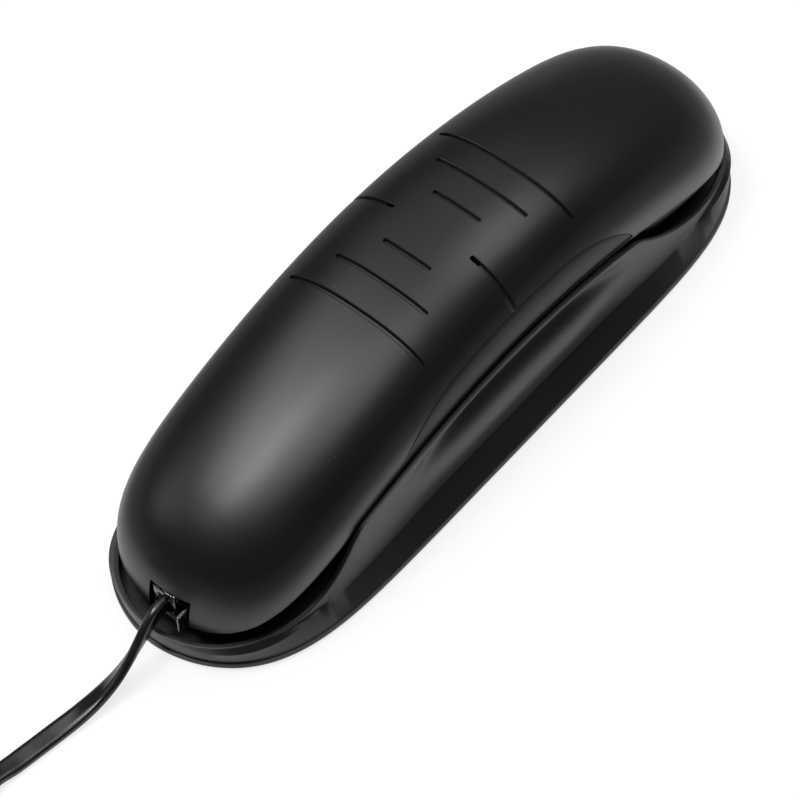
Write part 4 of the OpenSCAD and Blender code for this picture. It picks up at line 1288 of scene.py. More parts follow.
@dataclass
class Studio:
    """Floor, surroundings and lamps.

    The floor and the room are white where they are the background. A glossy surface mirrors that
    white from a sheet about the phone and from the room up to its horizon, and less beyond them.
    """

    lamps: tuple[SoftBox, ...] = (
        SoftBox("key_softbox", 231, 68, 1.0, 0.26, 3.3, 0.22),
        SoftBox("overhead_softbox", -45, 84, 1.1, 0.6, 3.5),
        SoftBox("far_softbox", 85, 56, 1.1, 0.5, 2.3, 0.4),
        SoftBox("left_softbox", 187, 62, 1.0, 0.4, 1.0),
        SoftBox("low_left_softbox", 218, 32, 1.0, 0.4, 0.7),
        SoftBox("broad_fill", 131, 56, 1.3, 1.0, 1.5),
    )
    floor_size: float = 8.0
    horizon: float = 0.04
    dim: float = 0.07
    paper: float = 0.3
    glow: float = 0.77
    sheet: Pair = (0.06, 0.14)
    sheet_edge: float = 0.45
    mirrored_glow: float = 0.12

    def faded(
        self, graph: Graph, value: Socket, start: float, end: float, last: float
    ) -> Socket:
        """Fades a factor from 1 to a last value.

        Args:
            graph: The nodes that the fade is added to.
            value: The value that it follows.
            start: Where the fade starts.
            end: Where the fade ends.
            last: The factor past its end.

        Returns:
            The factor.
        """
        fade = graph.add("ShaderNodeMapRange", interpolation_type="SMOOTHSTEP")
        for socket, number in zip(("From Min", "From Max", "To Min", "To Max"), (start, end, 1.0, last)):
            fade.inputs[socket].default_value = number
        graph.link(value, fade.inputs["Value"])
        return fade.outputs["Result"]

    def backdrop_share(self, graph: Graph, fade: Socket) -> Socket:
        """Picks out the rays that show the white background.

        Args:
            graph: The nodes that it is added to.
            fade: Share of the background that glossy rays see.

        Returns:
            1 for camera and transmission rays, the fade for glossy rays and 0 for the rest.
        """
        path = graph.add("ShaderNodeLightPath")
        mirrored = graph.join("MULTIPLY", path.outputs["Is Glossy Ray"], fade)
        seen = graph.join("MAXIMUM", path.outputs["Is Camera Ray"], path.outputs["Is Transmission Ray"])
        return graph.join("MAXIMUM", seen, mirrored)

    def build_world(self) -> None:
        """Makes the room: white behind the phone, and in mirrors white to the horizon and dim overhead."""
        world = bpy.data.worlds.new("studio_world")
        graph = Graph(world, "ShaderNodeOutputWorld")
        white = graph.add("ShaderNodeBackground", in_Color=(1, 1, 1, 1))
        room = graph.add("ShaderNodeBackground", in_Color=(1, 1, 1, 1), in_Strength=self.dim)
        split = graph.add("ShaderNodeSeparateXYZ")
        graph.link(graph.add("ShaderNodeTexCoord").outputs["Generated"], split.inputs[0])
        fade = self.faded(graph, split.outputs["Z"], 0.0, self.horizon, 0.0)
        blend = graph.add("ShaderNodeMixShader")
        graph.link(self.backdrop_share(graph, fade), blend.inputs["Fac"])
        graph.link(room.outputs[0], blend.inputs[1])
        graph.link(white.outputs[0], blend.inputs[2])
        graph.link(blend.outputs[0], graph.output.inputs["Surface"])
        bpy.context.scene.world = world

    def floor_material(self) -> bpy.types.Material:
        """Makes the floor's material.

        Returns:
            Grey paper with a glow that lifts it to white where it is the background.
        """
        graph = new_graph("white_paper_floor")
        paper = graph.add("ShaderNodeBsdfDiffuse", in_Color=(self.paper, self.paper, self.paper, 1))
        scaled = graph.add("ShaderNodeVectorMath", operation="MULTIPLY")
        scaled.inputs[1].default_value = (1 / self.sheet[0], 1 / self.sheet[1], 0)
        graph.link(graph.place(), scaled.inputs[0])
        out = graph.add("ShaderNodeVectorMath", operation="LENGTH")
        graph.link(scaled.outputs[0], out.inputs[0])
        fade = self.faded(graph, out.outputs["Value"], 1.0, 1 + self.sheet_edge, self.mirrored_glow)
        lift = graph.add("ShaderNodeMath", operation="MULTIPLY")
        lift.inputs[1].default_value = self.glow
        graph.link(self.backdrop_share(graph, fade), lift.inputs[0])
        glow = graph.add("ShaderNodeEmission", in_Color=(1, 1, 1, 1))
        graph.link(lift.outputs[0], glow.inputs["Strength"])
        both = graph.add("ShaderNodeAddShader")
        graph.link(paper.outputs[0], both.inputs[0])
        graph.link(glow.outputs[0], both.inputs[1])
        graph.link(both.outputs[0], graph.output.inputs["Surface"])
        return graph.owner

    def build_floor(self) -> None:
        """Makes the pale floor, which still shows the phone's shadow."""
        half = self.floor_size / 2
        corners = [(-half, -half, 0), (half, -half, 0), (half, half, 0), (-half, half, 0)]
        mesh = bpy.data.meshes.new("studio_floor")
        mesh.from_pydata(corners, [], [(0, 1, 2, 3)])
        floor = bpy.data.objects.new("studio_floor", mesh)
        bpy.context.scene.collection.objects.link(floor)
        mesh.materials.append(self.floor_material())

    def build(self) -> None:
        """Makes the whole studio."""
        self.build_world()
        self.build_floor()
        for lamp in self.lamps:
            lamp.build()
        bpy.context.scene.view_settings.view_transform = "Standard"


# ---------------------------------------------------------------------------
# Cord and plugs
# ---------------------------------------------------------------------------


@dataclass
class LineCord:
    """The flat cord: a free stretch that drops to the floor, then a coil that holds the rest.

    A stop of its route is a point in millimetres and the turn of the flat side in degrees, 90 on edge.
    """

    width: float = 4.9
    thickness: float = 2.4
    centre: Pair = (-32.0, -176.0)
    outer: float = 39.0
    lower_turns: float = 7.0
    climb_turns: float = 0.5
    upper_turns: float = 4.5
    turn_gap: float = 0.6
    layer_gap: float = 0.5
    floor_gap: float = 0.05
    plug_gap: float = 0.3
    plug_width: float = 9.6
    steps: int = 24
    free_parts: int = 4
    lift_turns: float = 0.75
    end_drift: float = 2.6
    section_points: int = 28
    squareness: float = 0.62
    dip_depth: float = 0.07
    dip_width: float = 0.09
    sharp: float = 50
    route: tuple[Stop, ...] = (
        (1.25, -95.5, 14.1, 90),
        (1.3, -98.5, 13.9, 90),
        (1.5, -101.5, 12.4, 85),
        (1.7, -105.0, 9.8, 75),
        (1.8, -109.0, 7.0, 60),
        (1.6, -113.5, 4.6, 42),
        (1.0, -119.0, 2.8, 22),
        (0.2, -124.5, 1.8, 8),
        (-0.8, -130.0, 1.25, 0),
        (-1.7, -136.0, 1.25, 0),
        (-2.6, -142.0, 1.25, 0),
        (-3.3, -148.0, 1.85, 20),
        (-1.8, -154.0, 2.3, 50),
        (2.2, -160.0, 2.5, 80),
        (5.2, -165.5, 2.5, 90),
        (6.9, -170.5, 2.5, 90),
        (7.0, -176.0, 2.5, 90),
    )

    def coil(self) -> list[Stop]:
        """Winds the coil.

        Returns:
            Its stops: a lower layer winding in, a half turn that climbs and an upper layer winding out.
        """
        turn_pitch = self.thickness + self.turn_gap
        layer_pitch = self.width + self.layer_gap
        edge = self.width / 2 + self.floor_gap
        rest = edge + self.width / 2 + self.plug_width / 2 + self.plug_gap
        inner = self.outer - self.lower_turns * turn_pitch
        top_start = self.lower_turns + self.climb_turns
        total = top_start + self.upper_turns
        stops: list[Stop] = []
        for i in range(int(total * self.steps) + 1):
            turn = i / self.steps
            end = smooth_step(turn, total - self.lift_turns, total)
            if turn < self.lower_turns:
                radius = self.outer - turn * turn_pitch
            elif turn < top_start:
                radius = inner
            else:
                radius = inner + (turn - top_start) * turn_pitch + self.end_drift * end
            height = edge + layer_pitch * smooth_step(turn, self.lower_turns, top_start)
            height += (rest - edge - layer_pitch) * end
            angle = 2 * math.pi * turn
            x = self.centre[0] + radius * math.cos(angle)
            y = self.centre[1] - radius * math.sin(angle) - self.width
            stops.append((x, y, height, 90.0))
        x, y, height, turned = stops[-1]
        return stops + [(x, y - self.width, height, turned)]

    def path(self) -> list[Stop]:
        """Runs the whole smooth route.

        Returns:
            Its stops from plug to plug.
        """
        stops = [*self.route, *self.coil()]
        last = len(stops) - 1
        smooth: list[Stop] = []
        for i in range(last):
            near = [stops[min(max(k, 0), last)] for k in range(i - 1, i + 3)]
            parts = self.free_parts if i < len(self.route) else 1
            for k in range(parts):
                smooth.append(tuple(curve_between(*column, k / parts) for column in zip(*near)))
        smooth.append(stops[-1])
        return smooth

    def section(self) -> list[Pair]:
        """Draws the flat section, with round edges and a shallow groove along each flat side.

        Returns:
            Its points, as shares of the width and the thickness.
        """
        ring = []
        for i in range(self.section_points):
            angle = 2 * math.pi * i / self.section_points
            c, s = math.cos(angle), math.sin(angle)
            u = math.copysign(abs(c) ** self.squareness, c) / 2
            v = math.copysign(abs(s) ** self.squareness, s) / 2
            dip = self.dip_depth * math.exp(-((u / self.dip_width) ** 2))
            ring.append((u, v - math.copysign(dip, v)))
        return ring

    def rings(self, path: Sequence[Stop], places: Sequence[Vector]) -> list[list[Point]]:
        """Sets the section across the route at each stop.

        Args:
            path: The route's stops.
            places: Their points.

        Returns:
            A ring of points at each stop.
        """
        section = self.section()
        rings: list[list[Point]] = []
        for i, place in enumerate(places):
            if i in (0, len(places) - 1):
                along = Vector((0, -1, 0))
            else:
                along = (places[i + 1] - places[i - 1]).normalized()
            across = Vector((0, 0, 1)).cross(along).normalized()
            up = along.cross(across)
            turn = math.radians(path[i][3])
            wide = across * math.cos(turn) + up * math.sin(turn)
            thin = along.cross(wide)
            wide, thin = wide * self.width, thin * self.thickness
            rings.append([tuple(place + wide * u + thin * v) for u, v in section])
        return rings

    def build(self, paint: PaintShop) -> None:
        """Args:
            paint: Source of the finish.
        """
        path = self.path()
        places = [Vector(stop[:3]) for stop in path]
        cord = ring_loft("line_cord_flat", self.rings(path, places), self.sharp)
        paint.dress(cord, CORD_BLACK)
        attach(cord, "base")
        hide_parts("line_cord", "line_cord_coil")
        length = sum((places[i + 1] - places[i]).length for i in range(len(places) - 1))
        LOG.info("%s: %.3f m of flat cord", cord.name, length * MM)


@dataclass
class ModularPlug:
    """A clear modular plug with its contacts, the end of its cord and its latch.

    In its own frame x is its height, with the latch on top, y runs from its rear to its front and z
    is its width. A pair of halves is half the height, then half the width.
    """

    prefix: str
    rear: Point
    mirrored: bool
    body: str
    latch_body: str
    height: float = 6.6
    width: float = 9.6
    length: float = 12.3
    edge_round: float = 0.35
    wires: int = 4
    wire_pitch: float = 1.02
    pocket_depth: float = 1.4
    pocket_span: Pair = (2.4, 5.6)
    pocket_half: float = 1.8
    entry_halves: Pair = (1.5, 2.75)
    entry_length: float = 4.6
    slot_half: float = 0.2
    slot_depth: float = 2.0
    slot_length: float = 5.0
    jacket_halves: Pair = (1.1, 2.3)
    jacket_span: Pair = (0.05, 4.4)
    blade_half: float = 0.15
    blade_depth: Pair = (0.25, 1.9)
    blade_back: Pair = (4.4, 1.2)
    latch_stations: tuple[float, ...] = (-3, -2.4, 2.4, 3)
    latch_round: float = 0.18
    latch_outline: Profile = (
        (0.15, 10.6),
        (0.15, 9.6),
        (1.1, 6.3),
        (2.3, 3),
        (2.3, -2.4),
        (3.1, -2.4),
        (3.1, 3.4),
        (2.3, 6.6),
        (1.25, 10.6),
        (1.05, 11.0),
        (0.7, 11.15),
        (0.35, 11.0),
    )

    def to_place(self) -> Matrix:
        """From the plug's own frame, with its rear at the origin, to the part's frame."""
        flip = Matrix.Scale(-1, 4, (0, 1, 0)) if self.mirrored else Matrix.Identity(4)
        return Matrix.Translation([c * MM for c in self.rear]) @ flip

    def put(self, piece: Piece) -> None:
        """Moves a piece's mesh into place and turns its faces outwards again."""
        piece.data.transform(self.to_place())
        finish_mesh(piece.data, FINE_ANGLE)

    def wire_places(self) -> list[float]:
        """Places of the wires across the plug."""
        return [(i - (self.wires - 1) / 2) * self.wire_pitch for i in range(self.wires)]

    def rounded(self, piece: Piece, radius: float, segments: int) -> None:
        """Rounds a piece's edges, in place.

        Args:
            piece: The piece to round.
            radius: Radius in millimetres.
            segments: Faces round each edge.
        """
        bevel = piece.modifiers.new("edge", "BEVEL")
        bevel.width = radius * MM
        bevel.segments = segments
        settle(piece, FINE_ANGLE)

    def build_shell(self) -> Piece:
        """Makes the plug's clear body.

        Returns:
            The body, with its latch pocket, contact slots and cord entry.
        """
        half_h, half_w = self.height / 2, self.width / 2
        shell = block(f"{self.prefix}_body", (-half_h, 0, -half_w), (half_h, self.length, half_w))
        self.rounded(shell, self.edge_round, 3)
        start, end = self.pocket_span
        entry_h, entry_w = self.entry_halves
        pocket_low = (half_h - self.pocket_depth, start, -self.pocket_half)
        cuts = [
            block("pocket", pocket_low, (half_h + 1, end, self.pocket_half)),
            block("entry", (-entry_h, -1, -entry_w), (entry_h, self.entry_length, entry_w)),
        ]
        for z in self.wire_places():
            low = (-half_h - 1, self.length - self.slot_length, z - self.slot_half)
            cuts.append(block("slot", low, (-half_h + self.slot_depth, self.length + 1, z + self.slot_half)))
        carve(shell, cuts, FINE_ANGLE)
        self.put(shell)
        return shell

    def build_core(self) -> Piece:
        """Makes the end of the cord inside the plug.

        Returns:
            The cord's end and the contact blades.
        """
        half_h, half_w = self.jacket_halves
        start, end = self.jacket_span
        parts = [block(f"{self.prefix}_core", (-half_h, start, -half_w), (half_h, end, half_w))]
        low, high = (depth - self.height / 2 for depth in self.blade_depth)
        back, front = (self.length - reach for reach in self.blade_back)
        for z in self.wire_places():
            parts.append(block("blade", (low, back, z - self.blade_half), (high, front, z + self.blade_half)))
        core = join_meshes(f"{self.prefix}_core", parts)
        self.put(core)
        return core

    def build_latch(self) -> Piece:
        """Makes the sprung latch.

        Returns:
            The latch, thin at its root and stepped at its catch.
        """
        rings = [[(self.height / 2 + x, y, z) for x, y in self.latch_outline] for z in self.latch_stations]
        latch = ring_loft(f"{self.prefix}_catch", rings, FINE_ANGLE)
        self.rounded(latch, self.latch_round, 2)
        self.put(latch)
        return latch

    def build(self, paint: PaintShop) -> None:
        """Makes the plug's pieces and hangs them on their bodies.

        Args:
            paint: Source of the finishes.
        """
        shell = self.build_shell()
        paint.dress(shell, CLEAR)
        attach(shell, self.body)
        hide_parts(self.prefix)
        core = self.build_core()
        paint.dress(core, GOLD)
        core.data.materials.append(paint.of(CORD_BLACK))
        for polygon in core.data.polygons:
            in_entry = abs(polygon.center.y / MM - self.rear[1]) < self.entry_length
            polygon.material_index = 1 if in_entry else 0
        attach(core, self.body)
        latch = self.build_latch()
        paint.dress(latch, CLEAR)
        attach(latch, self.latch_body)
        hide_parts(f"{self.prefix}_latch")
        LOG.info("%s: body, core and latch", self.prefix)


# ---------------------------------------------------------------------------
# Handset
# ---------------------------------------------------------------------------


@dataclass
class Groove:
    """A groove cut across the back, with softened edges and round ends."""

    y: float
    start: float
    end: float
    width: float = 1.0
    depth: float = 0.9
    edge: float = 0.22
    floor_share: float = 0.8
    wall_share: float = 0.7
    blunt_end: float = 0.02
    steps: int = 26

    def profile(self) -> list[Pair]:
        """Draws the groove's section.

        Returns:
            Points from its floor up one side and down to it on the other: place across as a share
            of half its width, and height above the back.
        """
        flare = self.edge / (self.width / 2)
        side = [(-self.floor_share, -self.depth), (-1.0, -self.depth * self.wall_share), (-1.0, -self.edge)]
        side += [(-1 - flare, 0.0), (-1 - 3 * flare, 2 * self.edge)]
        return side + [(-share, drop) for share, drop in reversed(side)]

    def cutter(self) -> Piece:
        """Makes the solid that cuts the groove.

        Returns:
            The solid, which follows the back.
        """
        low_x, high_x = min(self.start, self.end), max(self.start, self.end)
        half = self.width / 2
        rings: list[list[Point]] = []
        for i in range(self.steps + 1):
            x = mix(low_x, high_x, 0.5 - 0.5 * math.cos(math.pi * i / self.steps))
            near = min(x - low_x, high_x - x)
            taper = math.sqrt(max(self.blunt_end, 1 - max(0.0, 1 - near / half) ** 2))
            places = [(self.y + share * half * taper, drop) for share, drop in self.profile()]
            rings.append([(x, y, LINES.back_over(x, y) + drop) for y, drop in places])
        return ring_loft("groove", rings)


@dataclass
class SideGrip:
    """A crescent of matt texture let into the side of the back shell."""

    side: Side
    height: float = 9.0
    reach: float = 42.4
    thickness: float = 0.9
    face_below: float = 0.02
    edge_fall: float = 0.22
    edge_width: float = 0.35
    end_power: float = 4
    corner_power: float = 1.3
    drawn_in: float = 0.995
    recess_gap: float = 0.2
    recess_deeper: float = 0.05
    recess_out: float = 1.5
    recess_foot: float = 1.0
    rows: int = 96
    columns: int = 14

    def rise(self, y: float, margin: float = 0.0) -> float:
        """Height of the crescent above the seam, grown by a margin."""
        return oval(self.height + margin, self.reach + margin, self.end_power, self.corner_power, y)

    def solid(self, name: str, margin: float, outer: float, inner: float, foot: float, soft: float) -> Piece:
        """Makes the crescent as a closed solid.

        Args:
            name: Name of the object.
            margin: How far it is grown beyond the grip's own outline.
            outer: Depth of its outer face under the back's surface.
            inner: Depth of its inner face.
            foot: How far it reaches below the seam.
            soft: How far its outer face falls away at its edges.

        Returns:
            The closed object.
        """
        points: list[Point] = []
        reach = (self.reach + margin) * self.drawn_in
        for depth, most in ((inner, 0.0), (outer, soft)):
            for i in range(self.rows + 1):
                y = reach * math.sin(math.pi * (i / self.rows - 0.5))
                top = self.rise(y, margin)
                for j in range(self.columns + 1):
                    rise = mix(-foot, top, j / self.columns)
                    fall = most * math.exp(-min(top - rise, rise + foot) / self.edge_width)
                    x = LINES.back_side(y, rise) - depth - fall
                    points.append((self.side.value * x, y, LINES.seam(y) + rise))
        return make_piece(name, points, skin_faces(self.rows, self.columns))

    def recess(self) -> Piece:
        """Makes the solid that cuts the grip's recess."""
        inner = self.thickness + self.recess_deeper
        return self.solid("recess", self.recess_gap, -self.recess_out, inner, self.recess_foot, 0.0)

    def build(self, paint: PaintShop) -> None:
        """Makes the grip and hangs it on the handset.

        Args:
            paint: Source of the finish.
        """
        label = self.side.name.lower()
        grip = self.solid(f"grip_panel_{label}", 0.0, self.face_below, self.thickness, 0.0, self.edge_fall)
        paint.dress(grip, TEXTURED_GRIP)
        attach(grip, "handset")
        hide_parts(f"side_grip_{label}")
        LOG.info("%s: %d faces", grip.name, len(grip.data.polygons))


@dataclass
class HandsetShells:
    """The back and front shells of the handset, in millimetres.

    A hole's reach is its lowest and highest height, far enough to pass through the wall.
    """

    across: int = 72
    end_stations: int = 26
    end_share: float = 0.93
    middle_stations: int = 46
    face_steps: int = 12
    groove_pitch: float = 8.9
    groove_short: float = 6.9
    groove_long: float = 19.6
    side_groove_in: float = 1.2
    slot_middle: float = 12.4
    slot_halves: Pair = (1.2, 0.5)
    slot_reach: Pair = (-8, 4)
    notch: tuple[Point, Point] = ((-3.0, -100.0, 8.9), (8.2, -90.8, 19.3))
    switch_places: Pair = (52.0, -52.0)
    switch_half: float = 4.1
    switch_reach: Pair = (29.4, 31.8)
    switch_depth: Pair = (-2, 4)
    key_gap: float = 0.6
    face_reach: Pair = (26.5, 33.5)
    plunger_y: float = 30.0
    plunger_radius: float = 2.8
    screw_y: float = 48.0
    screw_radius: float = 2.5
    screw_reach: Pair = (6.0, 25.2)
    earpiece_y: float = 70.0
    mouthpiece_y: float = -62.0
    hole_pitch: float = 4.2
    hole_diameter: float = 1.6
    hole_reach: Pair = (-3.0, 3.0)
    mouth_holes: tuple[float, float, float] = (-3, 0, 3)

    def stations(self) -> list[float]:
        """Places the rows along the handset.

        Returns:
            Shares of its half length, close together at the round ends.
        """
        steps = [v / self.end_stations * self.end_share for v in range(self.end_stations + 1)]
        ends = [(1 - step**2) ** (1 / LINES.handset_powers[0]) for step in steps]
        middle = [ends[-1] * (1 - k / self.middle_stations) for k in range(1, self.middle_stations + 1)]
        half = ends + middle
        return [-s for s in half] + [s for s in reversed(half[:-1])]

    def build_back(self) -> Piece:
        """Makes the back shell with its wall.

        Returns:
            The shell, with its grooves, slots, recesses and openings cut.
        """
        shares = self.stations()
        angles = [math.pi * j / self.across for j in range(self.across + 1)]
        points: list[Point] = []
        for inset in (0.0, LINES.wall):
            for share in shares:
                y = share * (LINES.handset_half - inset)
                points += [LINES.back_point(y, angle, inset) for angle in angles]
        shell = make_piece("handset_back", points, skin_faces(len(shares) - 1, self.across, pointed=True))
        self.cut_grooves(shell)
        carve(shell, [SideGrip(side).recess() for side in Side])
        low, high = self.switch_reach
        out, deep = (depth - LINES.handset_side for depth in self.switch_depth)
        openings = [block("notch", *self.notch)]
        for y in self.switch_places:
            start, end = y - self.switch_half, y + self.switch_half
            openings.append(block("switch", (out, start, low), (deep, end, high)))
        carve(shell, openings)
        return shell

    def cut_grooves(self, shell: Piece) -> None:
        """Cuts the cross grooves, the side grooves and the slots where the side grooves end.

        Args:
            shell: The back shell.
        """
        grooves: list[Piece] = []
        for end in End:
            for row in (1, 2, 3):
                reach = mix(self.groove_short, self.groove_long, (row - 1) / 2)
                grooves.append(Groove(end.value * row * self.groove_pitch, -reach, reach).cutter())
        half_x, half_y = self.slot_halves
        for side in Side:
            start, end = self.slot_middle - half_x, LINES.handset_side - self.side_groove_in
            grooves.append(Groove(0.0, side.value * start, side.value * end).cutter())
        carve(shell, [join_meshes("grooves", grooves)])
        low, high = (LINES.crown_height + reach for reach in self.slot_reach)
        slots = []
        for side in Side:
            x = side.value * self.slot_middle
            slots.append(block("slot", (x - half_x, -half_y, low), (x + half_x, half_y, high)))
        carve(shell, [join_meshes("slots", slots)])

    def front_ring(self, stack: RingStack, share: float, inset: float) -> None:
        """Adds a ring of the front shell.

        Args:
            stack: The stack that it goes on.
            share: Its share of the way from the seam strip to the face.
            inset: Its depth in the shell's wall.
        """
        draw = inset + LINES.face_inset * share
        depth = LINES.face_depth(share)
        stack.add(
            LINES.handset_half - draw,
            lambda y: LINES.side_at(y, draw),
            lambda y: mix(LINES.seam(y) - LINES.seam_strip, LINES.face(y), depth) + inset,
        )

    def inner_face(self, y: float) -> float:
        """Height of the inside of the face."""
        return LINES.face(y) + LINES.wall

    def bores(self) -> list[Piece]:
        """Makes the solids that cut the keys', the plunger's and the screws' holes.

        Returns:
            The solids.
        """
        cuts = []
        for key in all_keys():
            length, width = key.length + self.key_gap, key.width + self.key_gap
            rings = [stadium_ring(length, width, 0, z) for z in self.face_reach]
            cuts.append(ring_loft("opening", [moved(ring, key.x, key.y) for ring in rings]))
        rounds = [(self.plunger_y, self.plunger_radius, self.face_reach, 40)]
        rounds += [(end.value * self.screw_y, self.screw_radius, self.screw_reach, 36) for end in End]
        for y, radius, reach, count in rounds:
            cuts.append(ring_loft("bore", [circle(radius, z, count, (0, y)) for z in reach]))
        return cuts

    def pin(self, name: str, x: float = 0.0) -> Piece:
        """Makes one pin that cuts a sound hole."""
        return ring_loft(name, [circle(self.hole_diameter / 2, z, 20, (x, 0)) for z in self.hole_reach])

    def sound_holes(self, perforations: Pattern, paint: PaintShop) -> list[Piece]:
        """Makes the solids that cut the earpiece's and the mouthpiece's holes.

        Args:
            perforations: The grille's hole pattern.
            paint: Source of the finishes.

        Returns:
            The solids, tilted with the face at each end.
        """
        low, high = self.hole_reach
        values = {
            "Pitch": self.hole_pitch * MM,
            "Hole Diameter": self.hole_diameter * MM,
            "Depth": (high - low) * MM,
            "Finish": paint.of(SATIN_BLACK),
        }
        grille = join_meshes("grille_pins", [perforations.run("grille_pins", values), self.pin("centre_pin")])
        mouth = join_meshes("mouth_pins", [self.pin("pin", x) for x in self.mouth_holes])
        for end, y, pins in (
            (End.EARPIECE, self.earpiece_y, grille),
            (End.MOUTHPIECE, self.mouthpiece_y, mouth),
        ):
            tilt = -end.value * math.atan(LINES.end_slope)
            pins.data.transform(turned_about(tilt, "X", (0, y * MM, LINES.end_plane(y) * MM)))
        return [grille, mouth]

    def build_front(self, perforations: Pattern, paint: PaintShop) -> Piece:
        """Makes the front shell with its wall, then cuts its openings.

        Args:
            perforations: The grille's hole pattern.
            paint: Source of the finishes.

        Returns:
            The front shell.
        """
        stack = RingStack()
        shares = [k / self.face_steps for k in range(self.face_steps + 1)]
        for share in reversed(shares):
            self.front_ring(stack, share, 0)
        for inset in (0.0, LINES.wall):
            stack.add(LINES.handset_half - inset, lambda y, i=inset: LINES.side_at(y, i), LINES.seam)
        for share in shares[1:]:
            self.front_ring(stack, share, LINES.wall)
        shell = stack.build("handset_front", LINES.face, self.inner_face, sharp=FINE_ANGLE)
        cuts = self.bores() + self.sound_holes(perforations, paint)
        carve(shell, [join_meshes("openings", cuts)], FINE_ANGLE)
        carve(shell, [block("notch", *self.notch)], FINE_ANGLE)
        return shell

    def build(self, perforations: Pattern, paint: PaintShop) -> None:
        """Makes both shells and hangs them on the handset.

        Args:
            perforations: The grille's hole pattern.
            paint: Source of the finishes.
        """
        back = self.build_back()
        front = self.build_front(perforations, paint)
        for piece, node in ((back, "handset_back_shell"), (front, "handset_front_shell")):
            paint.dress(piece, SATIN_BLACK)
            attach(piece, "handset")
            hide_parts(node)
            LOG.info("%s: %d faces", piece.name, len(piece.data.polygons))


@dataclass(frozen=True)
class KeyCap:
    """One key: its cap through the face, its flange and stem behind it, and its printed legend.

    Its profile runs from the cap's front to the flange's back, as pairs of inset and height.
    """

    body: str
    legend: str
    x: float
    y: float
    width: float = 6.4
    length: float = 9.0
    text_size: float = 3.6
    text_relief: float = 0.006
    stem_radius: float = 2.2
    stem_top: float = 34.0
    sharp: float = 40
    profile: Profile = (
        (0.85, 27.9),
        (0.5, 27.94),
        (0.22, 28.08),
        (0.06, 28.3),
        (0, 28.6),
        (0, 31.6),
        (-0.8, 31.6),
        (-0.8, 32.4),
    )

    def build(self, paint: PaintShop) -> None:
        """Makes the cap and legend and hangs them on the key's body.

        Args:
            paint: Source of the finishes.
        """
        rings = [stadium_ring(self.length, self.width, inset, z) for inset, z in self.profile]
        flange_top = self.profile[-1][1]
        rim = stadium_ring(self.length, self.width, 0, flange_top)
        for z in (flange_top, self.stem_top):
            shares = [self.stem_radius / math.hypot(x, y) for x, y, _ in rim]
            rings.append([(x * share, y * share, z) for share, (x, y, _) in zip(shares, rim)])
        cap = ring_loft(f"cap_{self.body}", [moved(ring, self.x, self.y) for ring in rings], self.sharp)
        paint.dress(cap, KEY_GREY)
        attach(cap, self.body)
        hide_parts(self.body)
        self.build_legend(paint)
        LOG.info("%s: legend %s", cap.name, self.legend)

    def build_legend(self, paint: PaintShop) -> None:
        """Prints the legend on the cap, to be read from below with the earpiece up.

        Args:
            paint: Source of the finish.
        """
        curve = bpy.data.curves.new("legend", "FONT")
        curve.body = self.legend
        curve.size = self.text_size * MM
        curve.align_x = "CENTER"
        curve.align_y = "CENTER"
        curve.extrude = self.text_relief * MM
        curve.resolution_u = 3
        text = bpy.data.objects.new("legend", curve)
        bpy.context.scene.collection.objects.link(text)
        graph = bpy.context.evaluated_depsgraph_get()
        mesh = bpy.data.meshes.new_from_object(text.evaluated_get(graph))
        discard(text)
        front = self.profile[0][1]
        mesh.transform(turned_about(math.pi, "Y", (self.x * MM, self.y * MM, front * MM)))
        finish_mesh(mesh, FINE_ANGLE)
        print_piece = bpy.data.objects.new(f"legend_{self.body}", mesh)
        bpy.context.scene.collection.objects.link(print_piece)
        paint.dress(print_piece, LEGEND_WHITE)
        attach(print_piece, self.body)


def all_keys(
    column_pitch: float = 12.8, row_pitch: float = 11.0, top: float = 19, low: float = -25.5
) -> list[KeyCap]:
    """The twelve number keys and the three function keys.

    Args:
        column_pitch: Distance between columns in millimetres.
        row_pitch: Distance between rows of number keys.
        top: Place of the first row.
        low: Place of the row of function keys.

    Returns:
        The keys, each with its place on the face.
    """
    names = [f"key_{i}" for i in range(1, 10)] + ["key_star", "key_0", "key_hash"]
    keys = [
        KeyCap(name, legend, (1 - i % 3) * column_pitch, top - (i // 3) * row_pitch)
        for i, (name, legend) in enumerate(zip(names, "123456789*0#"))
    ]
    for i, legend in enumerate(("FLASH", "REDIAL", "MUTE")):
        keys.append(KeyCap(f"{legend.lower()}_key", legend, (1 - i) * column_pitch, low, 4.4, text_size=1.6))
    return keys


# ---------------------------------------------------------------------------
# Base
# ---------------------------------------------------------------------------


@dataclass(frozen=True)
class ScrewSet:
    """Screws of one kind at the corners of a rectangle, each with a cross recess in its head."""

    name: str
    node: str
    body: str
    spacing: Pair
    columns: int
    head: float
    seat: float
    profile: Profile = ((2.3, 0), (1.2, 0), (1.2, 8.4), (0.5, 9))
    head_round: Profile = ((1.6, 0), (2.1, 0.12), (2.3, 0.3))
    recess_depth: float = 0.5
    recess_floor: float = 0.1
    recess_halves: Pair = (1.15, 0.26)

    def build(self, corners: Pattern, paint: PaintShop) -> None:
        """Makes the screws and hangs them on their body.

        Args:
            corners: The corner pattern.
            paint: Source of the finish.
        """
        profile = [(radius, z - self.head) for radius, z in self.head_round] + list(self.profile)
        one = lathe("one_screw", [(radius, z + self.seat) for radius, z in profile], 32)
        low = self.seat - self.head
        high = low + min(self.recess_depth, self.head - self.recess_floor)
        for x, y in (self.recess_halves, self.recess_halves[::-1]):
            carve(one, [block("recess", (-x, -y, low - 1), (x, y, high))])
        screws = at_corners(corners, self.name, one, self.spacing, self.columns, paint.of(STEEL))
        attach(screws, self.body)
        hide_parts(self.node)
        LOG.info("%s: %d faces", screws.name, len(screws.data.polygons))


